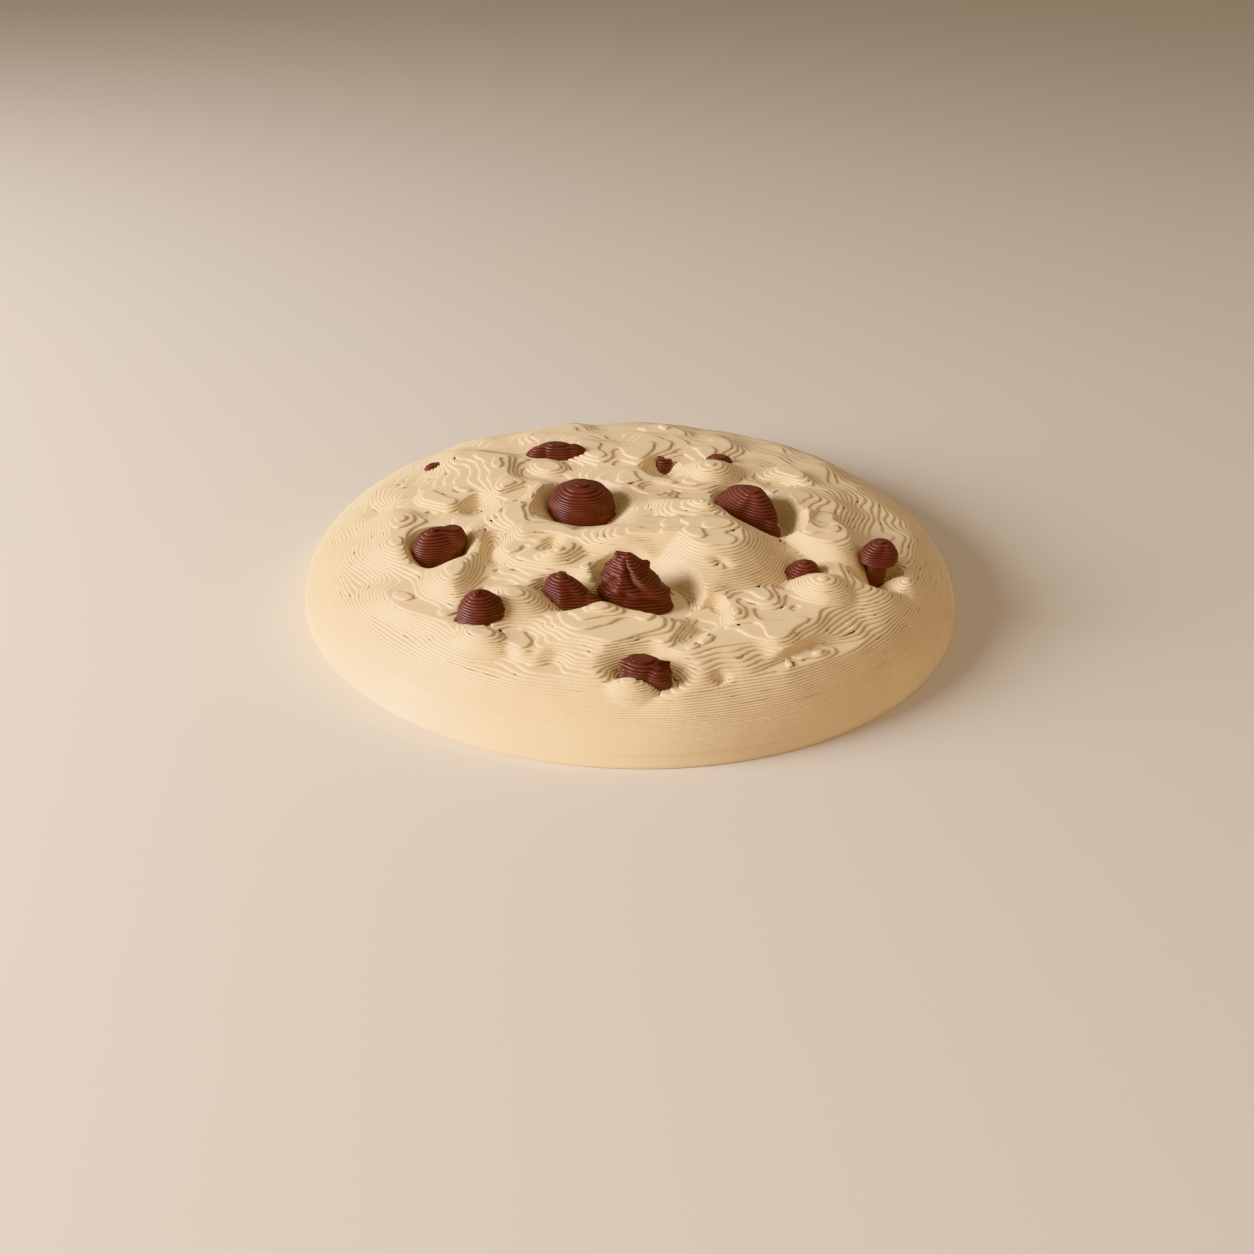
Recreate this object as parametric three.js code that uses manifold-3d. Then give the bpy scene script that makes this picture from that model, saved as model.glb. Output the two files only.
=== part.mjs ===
// A plastic copy of a chocolate chip cookie: one round cream body with a lumpy top,
// and thirteen dark brown chips that stand in pockets of that top.
// Millimetres, +Z up. The origin is the middle of the flat base, the front faces -Y.

import * as THREE from 'three';
import { mergeVertices } from 'three/addons/utils/BufferGeometryUtils.js';
import Module from 'manifold-3d';

const wasm = await Module();
wasm.setup();

// Outline of the body: a flattened dome with a nearly upright rim.
const BODY_RADIUS = 47.5;
const DOME_HEIGHT = 10.1;
const RIM_SQUARENESS = 6.5;
const CROWN_SQUARENESS = 1.97;

// The relief of the top fades out between these two radii, so the rim stays smooth.
const RELIEF_FULL_RADIUS = 39.5;
const RELIEF_END_RADIUS = 46.8;

// Mesh of the body: rings of the top, then rings down the rim.
const TOP_RINGS = 29;
const TOP_MESH_RADIUS = 46.2;
const SEGMENTS_PER_RING = 6;
const RIM_RING_HEIGHTS = [4.2, 2.6, 1.2, 0.4];

// Joint between a mound and the ground, and how much of the ripple a mound carries.
const MOUND_BLEND = 0.25;
const MOUND_RIPPLE_SHARE = 0.5;

// A chip is sunk a little below the lowest ground under it, with a gap round its side.
const CHIP_SINK = 0.35;
const POCKET_GAP = 0.3;
const POCKET_TOP = 20;
const FOOT_SAMPLES = 24;

const DOUGH_COLOUR = 0xdcbd90;
const CHIP_COLOUR = 0x5e2f20;

// Slow waves over the whole top: wavelength, direction in degrees, phase, height.
const WAVES = [
  { length: 17.0, turn: 25, phase: 0.4, height: 0.17 },
  { length: 12.5, turn: 105, phase: 2.1, height: 0.13 },
  { length: 9.0, turn: 160, phase: 4.0, height: 0.09 },
  { length: 6.2, turn: 60, phase: 1.2, height: 0.05 },
];
const WAVE_BEND = 0.9;
const WAVE_BEND_LENGTH = 1.7;

// Soft rises (+) and hollows (-) of the ground. a and b are half lengths, turn is in
// degrees, level is the share of the half length over which the middle stays level.
const GROUND = [
  { name: 'crown', x: -2, y: -4, a: 36, b: 32, turn: 0, rise: 0.9, level: 0.25 },
  { name: 'tongue', x: -17.2, y: 3.5, a: 6.5, b: 9.5, turn: -15, rise: 0.5, level: 0.3 },
  { name: 'left plateau', x: -27.6, y: 4, a: 5.5, b: 5, turn: 0, rise: 0.6, level: 0.4 },
  { name: 'left mound', x: -33.5, y: -5, a: 6.5, b: 5.6, turn: 0, rise: 0.9, level: 0 },
  { name: 'left ridge', x: -33.6, y: -11.5, a: 4.4, b: 6, turn: 10, rise: 0.9, level: 0 },
  { name: 'front left ridge', x: -24, y: -21.5, a: 4.6, b: 8, turn: -8, rise: 1.1, level: 0.1 },
  { name: 'narrow ridge', x: -21.6, y: -11.5, a: 2.4, b: 8, turn: 8, rise: 0.7, level: 0.1 },
  { name: 'middle plateau', x: -12.4, y: -12, a: 7.6, b: 7, turn: 0, rise: 0.9, level: 0.5 },
  { name: 'back left rise', x: -25, y: 15, a: 8.5, b: 10, turn: 0, rise: 0.8, level: 0.3 },
  { name: 'back rise', x: -2, y: 26, a: 15, b: 10, turn: 0, rise: 0.6, level: 0.4 },
  { name: 'right back rise', x: 27, y: 4, a: 8, b: 14, turn: 0, rise: 0.9, level: 0.3 },
  { name: 'small plateau', x: 3.6, y: 8.4, a: 4, b: 3.2, turn: 0, rise: 0.35, level: 0.6 },
  { name: 'right plateau edge', x: 18, y: -30.2, a: 9.8, b: 3.4, turn: 27, rise: 0.45, level: 0.2 },
  { name: 'front band', x: -6, y: -35.6, a: 10, b: 3.6, turn: 0, rise: 0.55, level: 0.4 },
  { name: 'round chip hollow', x: -7.4, y: 1.9, a: 8.6, b: 9, turn: 0, rise: -2.4, level: 0.4 },
  { name: 'crescent chip hollow', x: 18.4, y: 1, a: 6.6, b: 11.5, turn: 22, rise: -3.1, level: 0.4 },
  { name: 'left chip hollow', x: -26.8, y: -11.2, a: 6, b: 7.4, turn: 8, rise: -2.3, level: 0.45 },
  { name: 'tall chip hollow', x: 1.2, y: -22.2, a: 8.4, b: 6.6, turn: 0, rise: -1.6, level: 0.4 },
  { name: 'drop chip hollow', x: -8, y: -23.6, a: 6, b: 5.6, turn: 0, rise: -1.7, level: 0.35 },
  { name: 'triangle flat', x: 9.4, y: -27, a: 4.2, b: 4.6, turn: 0, rise: -0.95, level: 0.5 },
  { name: 'gully', x: 7.4, y: -32.8, a: 2.6, b: 4.6, turn: -40, rise: -0.7, level: 0.2 },
  { name: 'mound foot valley', x: 17, y: -25.2, a: 9, b: 4.2, turn: 8, rise: -0.7, level: 0.3 },
  { name: 'half-hidden chip hollow', x: 22, y: -15.8, a: 5.6, b: 5.4, turn: 0, rise: -2.5, level: 0.35 },
  { name: 'capped chip hollow', x: 34, y: -12.8, a: 4.6, b: 6.6, turn: -8, rise: -2.4, level: 0.35 },
  { name: 'left dimple', x: -37.5, y: 2.2, a: 3.4, b: 4.4, turn: 0, rise: -0.7, level: 0 },
  { name: 'left pit', x: -22.4, y: 1.4, a: 3.4, b: 5.2, turn: -15, rise: -1.6, level: 0 },
  { name: 'valley pit', x: -18.9, y: -14, a: 2.8, b: 7.5, turn: -4, rise: -1.6, level: 0.1 },
  { name: 'front pit', x: -9, y: -37.4, a: 3, b: 2.2, turn: 0, rise: -0.6, level: 0 },
  { name: 'front chip hollow', x: 2.3, y: -38.6, a: 7, b: 4.8, turn: -8, rise: -1.6, level: 0.3 },
  { name: 'front right shelf', x: 22.6, y: -33.4, a: 10.5, b: 4, turn: 36, rise: -1, level: 0.15 },
  { name: 'slit chip hollow', x: 4.6, y: 16.5, a: 4, b: 5.6, turn: 0, rise: -1.4, level: 0.2 },
  { name: 'front left chip hollow', x: -21, y: -29.3, a: 5, b: 3.6, turn: 0, rise: -1.2, level: 0.3 },
];

// Mounds that stand on the ground with a creased foot. rise is their top over the dome,
// drop is how far they fall at the half lengths, power is how much the flank steepens.
const MOUNDS = [
  { name: 'great mound', x: 11.3, y: -10.5, a: 12, b: 14.2, turn: 0,
    rise: 2.9, drop: 3.9, level: 0.3, power: 1.3 },
  { name: 'great mound shoulder', x: 3, y: -10, a: 20, b: 7.4, turn: 2,
    rise: 2.85, drop: 3.3, level: 0.15, power: 1.3 },
  { name: 'great mound crest', x: 9.6, y: -2.4, a: 9, b: 5, turn: -28,
    rise: 3.1, drop: 2.2, level: 0, power: 1.5 },
  { name: 'rear mound', x: 12.2, y: 14.6, a: 6.4, b: 6.6, turn: 0,
    rise: 1.8, drop: 2.8, level: 0, power: 2.2 },
  { name: 'back left bump', x: -13.2, y: 15.4, a: 4.4, b: 4.2, turn: 0,
    rise: 1, drop: 1.2, level: 0, power: 2 },
  { name: 'front left mound', x: -14.8, y: -25.8, a: 7, b: 5.4, turn: -28,
    rise: 1.55, drop: 2.5, level: 0.05, power: 1.5 },
  { name: 'front left bump', x: -18.2, y: -34, a: 4.6, b: 2.4, turn: -12,
    rise: 1, drop: 1.2, level: 0, power: 2 },
  { name: 'front plate', x: -2.4, y: -31, a: 9.6, b: 4.6, turn: 4,
    rise: 0.35, drop: 1.9, level: 0.4, power: 1.5 },
  { name: 'front right mound', x: 25.8, y: -20.2, a: 6.6, b: 5.6, turn: -22,
    rise: 1.35, drop: 2.8, level: 0.05, power: 1.6 },
  { name: 'right fold', x: 26.4, y: -5.6, a: 5.6, b: 9.4, turn: 32,
    rise: 1.75, drop: 3, level: 0, power: 3.2 },
  { name: 'right rim mound', x: 38.4, y: -16, a: 3.8, b: 4.4, turn: 0,
    rise: 1, drop: 2.4, level: 0, power: 1.8 },
  { name: 'front bump', x: 0.2, y: -42.2, a: 2.9, b: 1.9, turn: 0,
    rise: 1.1, drop: 1.2, level: 0, power: 2 },
];

// Bowls carved round chips, with steep smooth flanks. bottom is their floor over the
// dome, and rise is how far the flank climbs from there to the half lengths.
const BOWLS = [
  { name: 'tall chip bowl', x: 2.5, y: -21.9, a: 10, b: 6.6, turn: -40,
    bottom: -1.6, rise: 3.5, level: 0.6, power: 1.6 },
  { name: 'round chip bowl', x: -7.2, y: 3.8, a: 7.6, b: 7.2, turn: -20,
    bottom: -1.4, rise: 3.2, level: 0.6, power: 1.5 },
  { name: 'crescent chip bowl', x: 18.4, y: 2, a: 6, b: 10.5, turn: 22,
    bottom: -2, rise: 3.4, level: 0.5, power: 1.5 },
];

// Chips. foot is the height where the shaped part starts, top is its highest point,
// a and b are half lengths of the foot, leanX and leanY move the top sideways, bend
// curves the long axis. sides says how full the flank is at the right, back, left and
// front of the chip's own axes (below 1 it is hollow), crown says how level the top is.
const CHIPS = [
  { node: 'chip_back_left', x: -31.4, y: 16.9, a: 1.5, b: 1.3, turn: 0, foot: 9, top: 10,
    leanX: 0, leanY: 0, bend: 0, sides: [2, 2, 2, 2], crown: 2 },
  { node: 'chip_back_bean', x: -12.7, y: 21.2, a: 4.8, b: 2.8, turn: -4, foot: 9.2, top: 12,
    leanX: -0.3, leanY: 0.3, bend: -0.6, sides: [2.4, 2, 1.5, 2], crown: 1.8 },
  { node: 'chip_back_slit', x: 4.9, y: 19.6, a: 1.5, b: 1.7, turn: 0, foot: 8.4, top: 10.6,
    leanX: -0.2, leanY: 0.3, bend: 0.4, sides: [2.4, 2, 2.4, 2], crown: 2 },
  { node: 'chip_back_low', x: 13.6, y: 20.2, a: 2.3, b: 1.6, turn: 0, foot: 9.8, top: 11.2,
    leanX: 0, leanY: 0, bend: 0, sides: [2, 2, 2, 2], crown: 2 },
  { node: 'chip_round', x: -7.5, y: 3, a: 5, b: 5, turn: 0, foot: 8.9, top: 13.6,
    leanX: 0, leanY: 0, bend: 0, sides: [2.1, 2.1, 2.3, 2.1], crown: 2.3 },
  { node: 'chip_crescent', x: 16.3, y: 1.9, a: 4, b: 6.6, turn: 28, foot: 8.5, top: 13.7,
    leanX: 0.9, leanY: 0.7, bend: 0, sides: [2.6, 1.5, 1.5, 1.7], crown: 1.7 },
  { node: 'chip_left', x: -26.7, y: -11.3, a: 3.8, b: 2.9, turn: 35, foot: 8.1, top: 12.1,
    leanX: 0, leanY: 0.4, bend: 0.5, sides: [3, 2.2, 2.2, 2.4], crown: 2.6 },
  { node: 'chip_drop', x: -7.6, y: -24.3, a: 4.2, b: 2.6, turn: -28, foot: 8.9, top: 13.1,
    leanX: -1.2, leanY: 0.8, bend: 0.3, sides: [1.2, 1.5, 1.9, 1.7], crown: 1.4 },
  { node: 'chip_tall', x: 0.6, y: -22.2, a: 5, b: 3.8, turn: -16, foot: 9, top: 15,
    leanX: -1.1, leanY: 0.9, bend: 0.6, sides: [0.85, 1.3, 1.6, 1.4], crown: 1.3 },
  { node: 'chip_front_left', x: -18.7, y: -28.7, a: 3.4, b: 2.9, turn: 0, foot: 8.6, top: 12.6,
    leanX: -0.6, leanY: 0.3, bend: 0, sides: [2.4, 1.9, 1.8, 2], crown: 1.6 },
  { node: 'chip_half_hidden', x: 23.1, y: -15.5, a: 3, b: 2.8, turn: 0, foot: 7.7, top: 11.3,
    leanX: 0.3, leanY: 0, bend: 0, sides: [2, 2, 2, 2], crown: 1.8 },
  { node: 'chip_capped', x: 34.2, y: -12, a: 2.65, b: 2.5, turn: 0, foot: 7.9, top: 12.9,
    leanX: 0, leanY: 0.2, bend: 0, sides: [2.2, 2.2, 2.2, 2.2], crown: 2, stem: 0.6, stemShare: 0.46 },
  { node: 'chip_front', x: 1.8, y: -39, a: 3, b: 2.2, turn: -18, foot: 8, top: 10.5,
    leanX: -0.4, leanY: 0, bend: 0.3, sides: [1.8, 2, 2.2, 2], crown: 1.9 },
];
const CHIP_SEGMENTS = 18;
const CHIP_LEVELS = [0, 0.16, 0.36, 0.56, 0.74, 0.88, 0.97];

const radians = (degrees) => (degrees * Math.PI) / 180;

function clamp(value, low, high) {
  return Math.min(high, Math.max(low, value));
}

function smoothStep(t) {
  const s = clamp(t, 0, 1);
  return s * s * (3 - 2 * s);
}

// Larger of two heights, with the corner between them rounded over the blend height.
function softMax(a, b, blend) {
  const share = clamp(0.5 + (0.5 * (a - b)) / blend, 0, 1);
  return b * (1 - share) + a * share + blend * share * (1 - share);
}

function domeHeight(radius) {
  const share = clamp(radius / BODY_RADIUS, 0, 1);
  return DOME_HEIGHT * (1 - share ** RIM_SQUARENESS) ** (1 / CROWN_SQUARENESS);
}

// Distance from the middle of an oval feature, where 1 is its outline.
function ovalDistance(feature, x, y) {
  const turn = radians(feature.turn);
  const along = (x - feature.x) * Math.cos(turn) + (y - feature.y) * Math.sin(turn);
  const across = (y - feature.y) * Math.cos(turn) - (x - feature.x) * Math.sin(turn);
  return Math.hypot(along / feature.a, across / feature.b);
}

// Distance beyond the level middle of a feature, where 1 is its outline.
function beyondLevel(feature, x, y) {
  return Math.max(ovalDistance(feature, x, y) - feature.level, 0) / (1 - feature.level);
}

function ripple(x, y) {
  let sum = 0;
  for (const wave of WAVES) {
    const turn = radians(wave.turn);
    const along = x * Math.cos(turn) + y * Math.sin(turn);
    const across = y * Math.cos(turn) - x * Math.sin(turn);
    const bendPhase = (2 * Math.PI * across) / (wave.length * WAVE_BEND_LENGTH) + 2 * wave.phase;
    const phase = (2 * Math.PI * along) / wave.length + wave.phase;
    sum += wave.height * Math.sin(phase + WAVE_BEND * Math.sin(bendPhase));
  }
  return sum;
}

// Height of the top of the body over the table.
function surfaceHeight(x, y) {
  const wave = ripple(x, y);
  let relief = wave;
  for (const patch of GROUND) {
    const distance = ovalDistance(patch, x, y);
    relief += patch.rise * smoothStep((1 - distance) / (1 - patch.level));
  }
  for (const mound of MOUNDS) {
    const height = mound.rise - mound.drop * beyondLevel(mound, x, y) ** mound.power;
    relief = softMax(height + MOUND_RIPPLE_SHARE * wave, relief, MOUND_BLEND);
  }
  for (const bowl of BOWLS) {
    const height = bowl.bottom + bowl.rise * beyondLevel(bowl, x, y) ** bowl.power;
    relief = -softMax(-height - MOUND_RIPPLE_SHARE * wave, -relief, MOUND_BLEND);
  }
  const radius = Math.hypot(x, y);
  const fade = (radius - RELIEF_FULL_RADIUS) / (RELIEF_END_RADIUS - RELIEF_FULL_RADIUS);
  return domeHeight(radius) + (1 - smoothStep(fade)) * relief;
}

// Radius of the dome where its flank is at a given height, found from the dome formula.
function rimRadius(height) {
  const share = 1 - (height / DOME_HEIGHT) ** CROWN_SQUARENESS;
  return BODY_RADIUS * share ** (1 / RIM_SQUARENESS);
}

// Closed solid from vertex positions and triangles.
function solidFrom(positions, triangles) {
  return new wasm.Manifold(new wasm.Mesh({
    numProp: 3,
    vertProperties: new Float32Array(positions),
    triVerts: new Uint32Array(triangles),
  }));
}

// Joins two closed rings of points, each given by its first index and its point count.
function joinRings(triangles, inner, innerCount, outer, outerCount) {
  let i = 0;
  let j = 0;
  while (i < innerCount || j < outerCount) {
    const innerNow = inner + (i % innerCount);
    const outerNow = outer + (j % outerCount);
    const stepInner = j >= outerCount
      || (i < innerCount && (i + 1) / innerCount <= (j + 1) / outerCount);
    if (stepInner) {
      i += 1;
      triangles.push(innerNow, outerNow, inner + (i % innerCount));
    } else {
      j += 1;
      triangles.push(innerNow, outerNow, outer + (j % outerCount));
    }
  }
}

function buildBody() {
  const positions = [0, 0, surfaceHeight(0, 0)];
  const triangles = [];
  let previousStart = 0;
  let previousCount = 1;

  function addRing(radius, count, heightAt) {
    const start = positions.length / 3;
    for (let k = 0; k < count; k += 1) {
      const angle = (2 * Math.PI * k) / count;
      const x = radius * Math.cos(angle);
      const y = radius * Math.sin(angle);
      positions.push(x, y, heightAt(x, y));
    }
    if (previousCount === 1) {
      for (let k = 0; k < count; k += 1) {
        triangles.push(previousStart, start + k, start + ((k + 1) % count));
      }
    } else {
      joinRings(triangles, previousStart, previousCount, start, count);
    }
    previousStart = start;
    previousCount = count;
  }

  for (let ring = 1; ring <= TOP_RINGS; ring += 1) {
    addRing((TOP_MESH_RADIUS * ring) / TOP_RINGS, SEGMENTS_PER_RING * ring, surfaceHeight);
  }
  const rimCount = SEGMENTS_PER_RING * TOP_RINGS;
  for (const height of RIM_RING_HEIGHTS) {
    addRing(rimRadius(height), rimCount, () => height);
  }
  addRing(BODY_RADIUS, rimCount, () => 0);

  const centre = positions.length / 3;
  positions.push(0, 0, 0);
  for (let k = 0; k < rimCount; k += 1) {
    triangles.push(centre, previousStart + ((k + 1) % rimCount), previousStart + k);
  }
  return solidFrom(positions, triangles);
}

// Share of the foot's half lengths at a height share t of the shaped part.
function flankShare(chip, t, angle) {
  if (chip.stem && t < chip.stemShare) {
    return chip.stem;
  }
  const start = chip.stem ? chip.stemShare : 0;
  const rise = (t - start) / (1 - start);
  const [right, back, left, front] = chip.sides;
  const along = Math.cos(angle);
  const across = Math.sin(angle);
  const side = (along > 0 ? right : left) * along ** 2 + (across > 0 ? back : front) * across ** 2;
  return (1 - rise ** chip.crown) ** (1 / side);
}

// One point of a chip's outline, widened by a gap, at a height share t.
function chipPoint(chip, share, t, angle, gap) {
  const along = (chip.a * share + gap) * Math.cos(angle);
  const bent = chip.bend * ((along / chip.a) ** 2 - 0.5);
  const across = (chip.b * share + gap) * Math.sin(angle) + bent;
  const turn = radians(chip.turn);
  return [
    chip.x + chip.leanX * t + along * Math.cos(turn) - across * Math.sin(turn),
    chip.y + chip.leanY * t + along * Math.sin(turn) + across * Math.cos(turn),
  ];
}

// Share of the half lengths at the very foot, which is the stem where there is one.
function footShare(chip) {
  return chip.stem ?? 1;
}

// Height of the pocket floor: just below the lowest ground under the foot.
function floorHeight(chip) {
  const share = footShare(chip);
  let lowest = surfaceHeight(chip.x, chip.y);
  for (let k = 0; k < FOOT_SAMPLES; k += 1) {
    const [x, y] = chipPoint(chip, share, 0, (2 * Math.PI * k) / FOOT_SAMPLES, POCKET_GAP);
    lowest = Math.min(lowest, surfaceHeight(x, y));
  }
  return Math.min(lowest, chip.foot) - CHIP_SINK;
}

// Solid through a stack of outlines. Each station holds its height z, its height share t,
// the gap round it and shareAt, the share of the half lengths at an angle.
function stackedSolid(chip, stations, apexHeight) {
  const positions = [];
  const triangles = [];
  for (const station of stations) {
    for (let k = 0; k < CHIP_SEGMENTS; k += 1) {
      const angle = (2 * Math.PI * k) / CHIP_SEGMENTS;
      const [x, y] = chipPoint(chip, station.shareAt(angle), station.t, angle, station.gap);
      positions.push(x, y, station.z);
    }
  }
  for (let level = 1; level < stations.length; level += 1) {
    joinRings(triangles, level * CHIP_SEGMENTS, CHIP_SEGMENTS,
      (level - 1) * CHIP_SEGMENTS, CHIP_SEGMENTS);
  }
  const last = stations[stations.length - 1];
  const foot = positions.length / 3;
  const apex = foot + 1;
  const lastStart = (stations.length - 1) * CHIP_SEGMENTS;
  positions.push(...chipPoint(chip, 0, 0, 0, 0), stations[0].z);
  positions.push(...chipPoint(chip, 0, last.t, 0, 0), apexHeight);
  for (let k = 0; k < CHIP_SEGMENTS; k += 1) {
    const next = (k + 1) % CHIP_SEGMENTS;
    triangles.push(foot, next, k);
    triangles.push(apex, lastStart + k, lastStart + next);
  }
  return solidFrom(positions, triangles);
}

function chipLevels(chip) {
  if (!chip.stem) {
    return CHIP_LEVELS;
  }
  const start = chip.stemShare;
  const cap = CHIP_LEVELS.map((level) => start + (1 - start) * level);
  return [0, start - 0.03, ...cap];
}

function buildChip(chip) {
  const floor = floorHeight(chip);
  const stations = [{ shareAt: () => footShare(chip), t: 0, z: floor, gap: 0 }];
  for (const t of chipLevels(chip)) {
    const z = chip.foot + (chip.top - chip.foot) * t;
    stations.push({ shareAt: (angle) => flankShare(chip, t, angle), t, z, gap: 0 });
  }
  return stackedSolid(chip, stations, chip.top);
}

// Room for a chip: its foot outline plus the gap, open upwards. A cap gets its own width.
function buildPocket(chip) {
  const narrow = () => footShare(chip);
  const wide = () => 1;
  const stations = [{ shareAt: narrow, t: 0, z: floorHeight(chip), gap: POCKET_GAP }];
  if (chip.stem) {
    const underCap = chip.foot + (chip.top - chip.foot) * (chip.stemShare - 0.03) - POCKET_GAP;
    stations.push({ shareAt: narrow, t: 0, z: underCap - 0.05, gap: POCKET_GAP });
    stations.push({ shareAt: wide, t: 0, z: underCap, gap: POCKET_GAP });
  }
  stations.push({ shareAt: wide, t: 0, z: POCKET_TOP, gap: POCKET_GAP });
  return stackedSolid(chip, stations, POCKET_TOP);
}

function meshFrom(solid, node, material) {
  const source = solid.getMesh();
  const geometry = new THREE.BufferGeometry();
  geometry.setAttribute('position', new THREE.BufferAttribute(source.vertProperties, 3));
  geometry.setIndex(new THREE.BufferAttribute(source.triVerts, 1));
  const merged = mergeVertices(geometry, 1e-5);
  merged.computeVertexNormals();
  const mesh = new THREE.Mesh(merged, material);
  mesh.name = node;
  return mesh;
}

const doughPlastic = new THREE.MeshStandardMaterial({
  color: DOUGH_COLOUR, roughness: 0.55, metalness: 0,
});
const chipPlastic = new THREE.MeshStandardMaterial({
  color: CHIP_COLOUR, roughness: 0.5, metalness: 0,
});

const cookie = new THREE.Group();
cookie.name = 'cookie';

let body = buildBody();
for (const chip of CHIPS) {
  body = body.subtract(buildPocket(chip));
  cookie.add(meshFrom(buildChip(chip), chip.node, chipPlastic));
}
cookie.add(meshFrom(body, 'cookie_body', doughPlastic));

export default cookie;
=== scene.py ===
"""Dressed model of a plastic copy of a chocolate chip cookie, printed in thin layers.

The body is a lumpy dome cut into level layers, so every slope shows the steps of the
print. The chips are printed in layers too, in a dark brown plastic. All shapes come from
named sizes in millimetres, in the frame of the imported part.
"""

import math

import bpy
import numpy as np
from mathutils import Matrix, Vector


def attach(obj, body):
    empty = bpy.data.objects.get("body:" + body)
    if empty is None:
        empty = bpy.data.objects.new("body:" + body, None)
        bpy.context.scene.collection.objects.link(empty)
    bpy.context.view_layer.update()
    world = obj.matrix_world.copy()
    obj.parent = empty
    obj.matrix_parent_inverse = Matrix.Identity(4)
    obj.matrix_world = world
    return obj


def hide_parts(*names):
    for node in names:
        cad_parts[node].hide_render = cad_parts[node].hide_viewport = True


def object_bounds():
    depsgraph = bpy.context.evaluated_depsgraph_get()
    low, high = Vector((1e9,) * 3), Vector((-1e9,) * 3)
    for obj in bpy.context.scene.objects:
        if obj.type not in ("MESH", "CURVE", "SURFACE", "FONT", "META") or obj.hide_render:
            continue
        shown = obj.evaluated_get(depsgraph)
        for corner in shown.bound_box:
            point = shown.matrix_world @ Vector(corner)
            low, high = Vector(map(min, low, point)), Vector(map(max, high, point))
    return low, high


bl_info = {
    "name": "Printed Cookie",
    "version": (1, 0, 0),
    "blender": (4, 5, 0),
    "location": "View3D > Sidebar > Cookie",
    "description": "Builds a layered plastic cookie with its chips and a plain stage",
    "category": "Add Mesh",
}

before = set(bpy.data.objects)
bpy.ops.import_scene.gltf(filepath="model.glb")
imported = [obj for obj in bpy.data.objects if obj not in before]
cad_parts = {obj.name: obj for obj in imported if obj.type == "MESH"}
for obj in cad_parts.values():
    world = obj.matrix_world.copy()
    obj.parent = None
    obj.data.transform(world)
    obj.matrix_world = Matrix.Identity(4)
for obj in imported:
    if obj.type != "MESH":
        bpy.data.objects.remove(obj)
CAD_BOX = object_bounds()

MM = 0.001

# Outline of the body: a flattened dome with a nearly upright rim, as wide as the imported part.
BODY_RADIUS = round(CAD_BOX[1][0] / MM, 2)
DOME_HEIGHT = 10.1
RIM_SQUARENESS = 6.5
CROWN_SQUARENESS = 1.97

# The relief stands at its full height within the first radius and ends at the second.
RELIEF_FULL_RADIUS = 39.5
RELIEF_END_RADIUS = 46.8

# How softly a mound meets the ground, and its share of the waves and the unevenness.
MOUND_BLEND = 0.25
MOUND_RIPPLE_SHARE = 0.5

# Slow waves over the whole top: wavelength, direction in degrees, phase, height.
WAVES = (
    (17.0, 25, 0.4, 0.17),
    (12.5, 105, 2.1, 0.13),
    (9.0, 160, 4.0, 0.09),
    (6.2, 60, 1.2, 0.05),
)
# How far the waves' crests swing from side to side, and over how many wavelengths.
WAVE_BEND = 0.9
WAVE_BEND_LENGTH = 1.7

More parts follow.
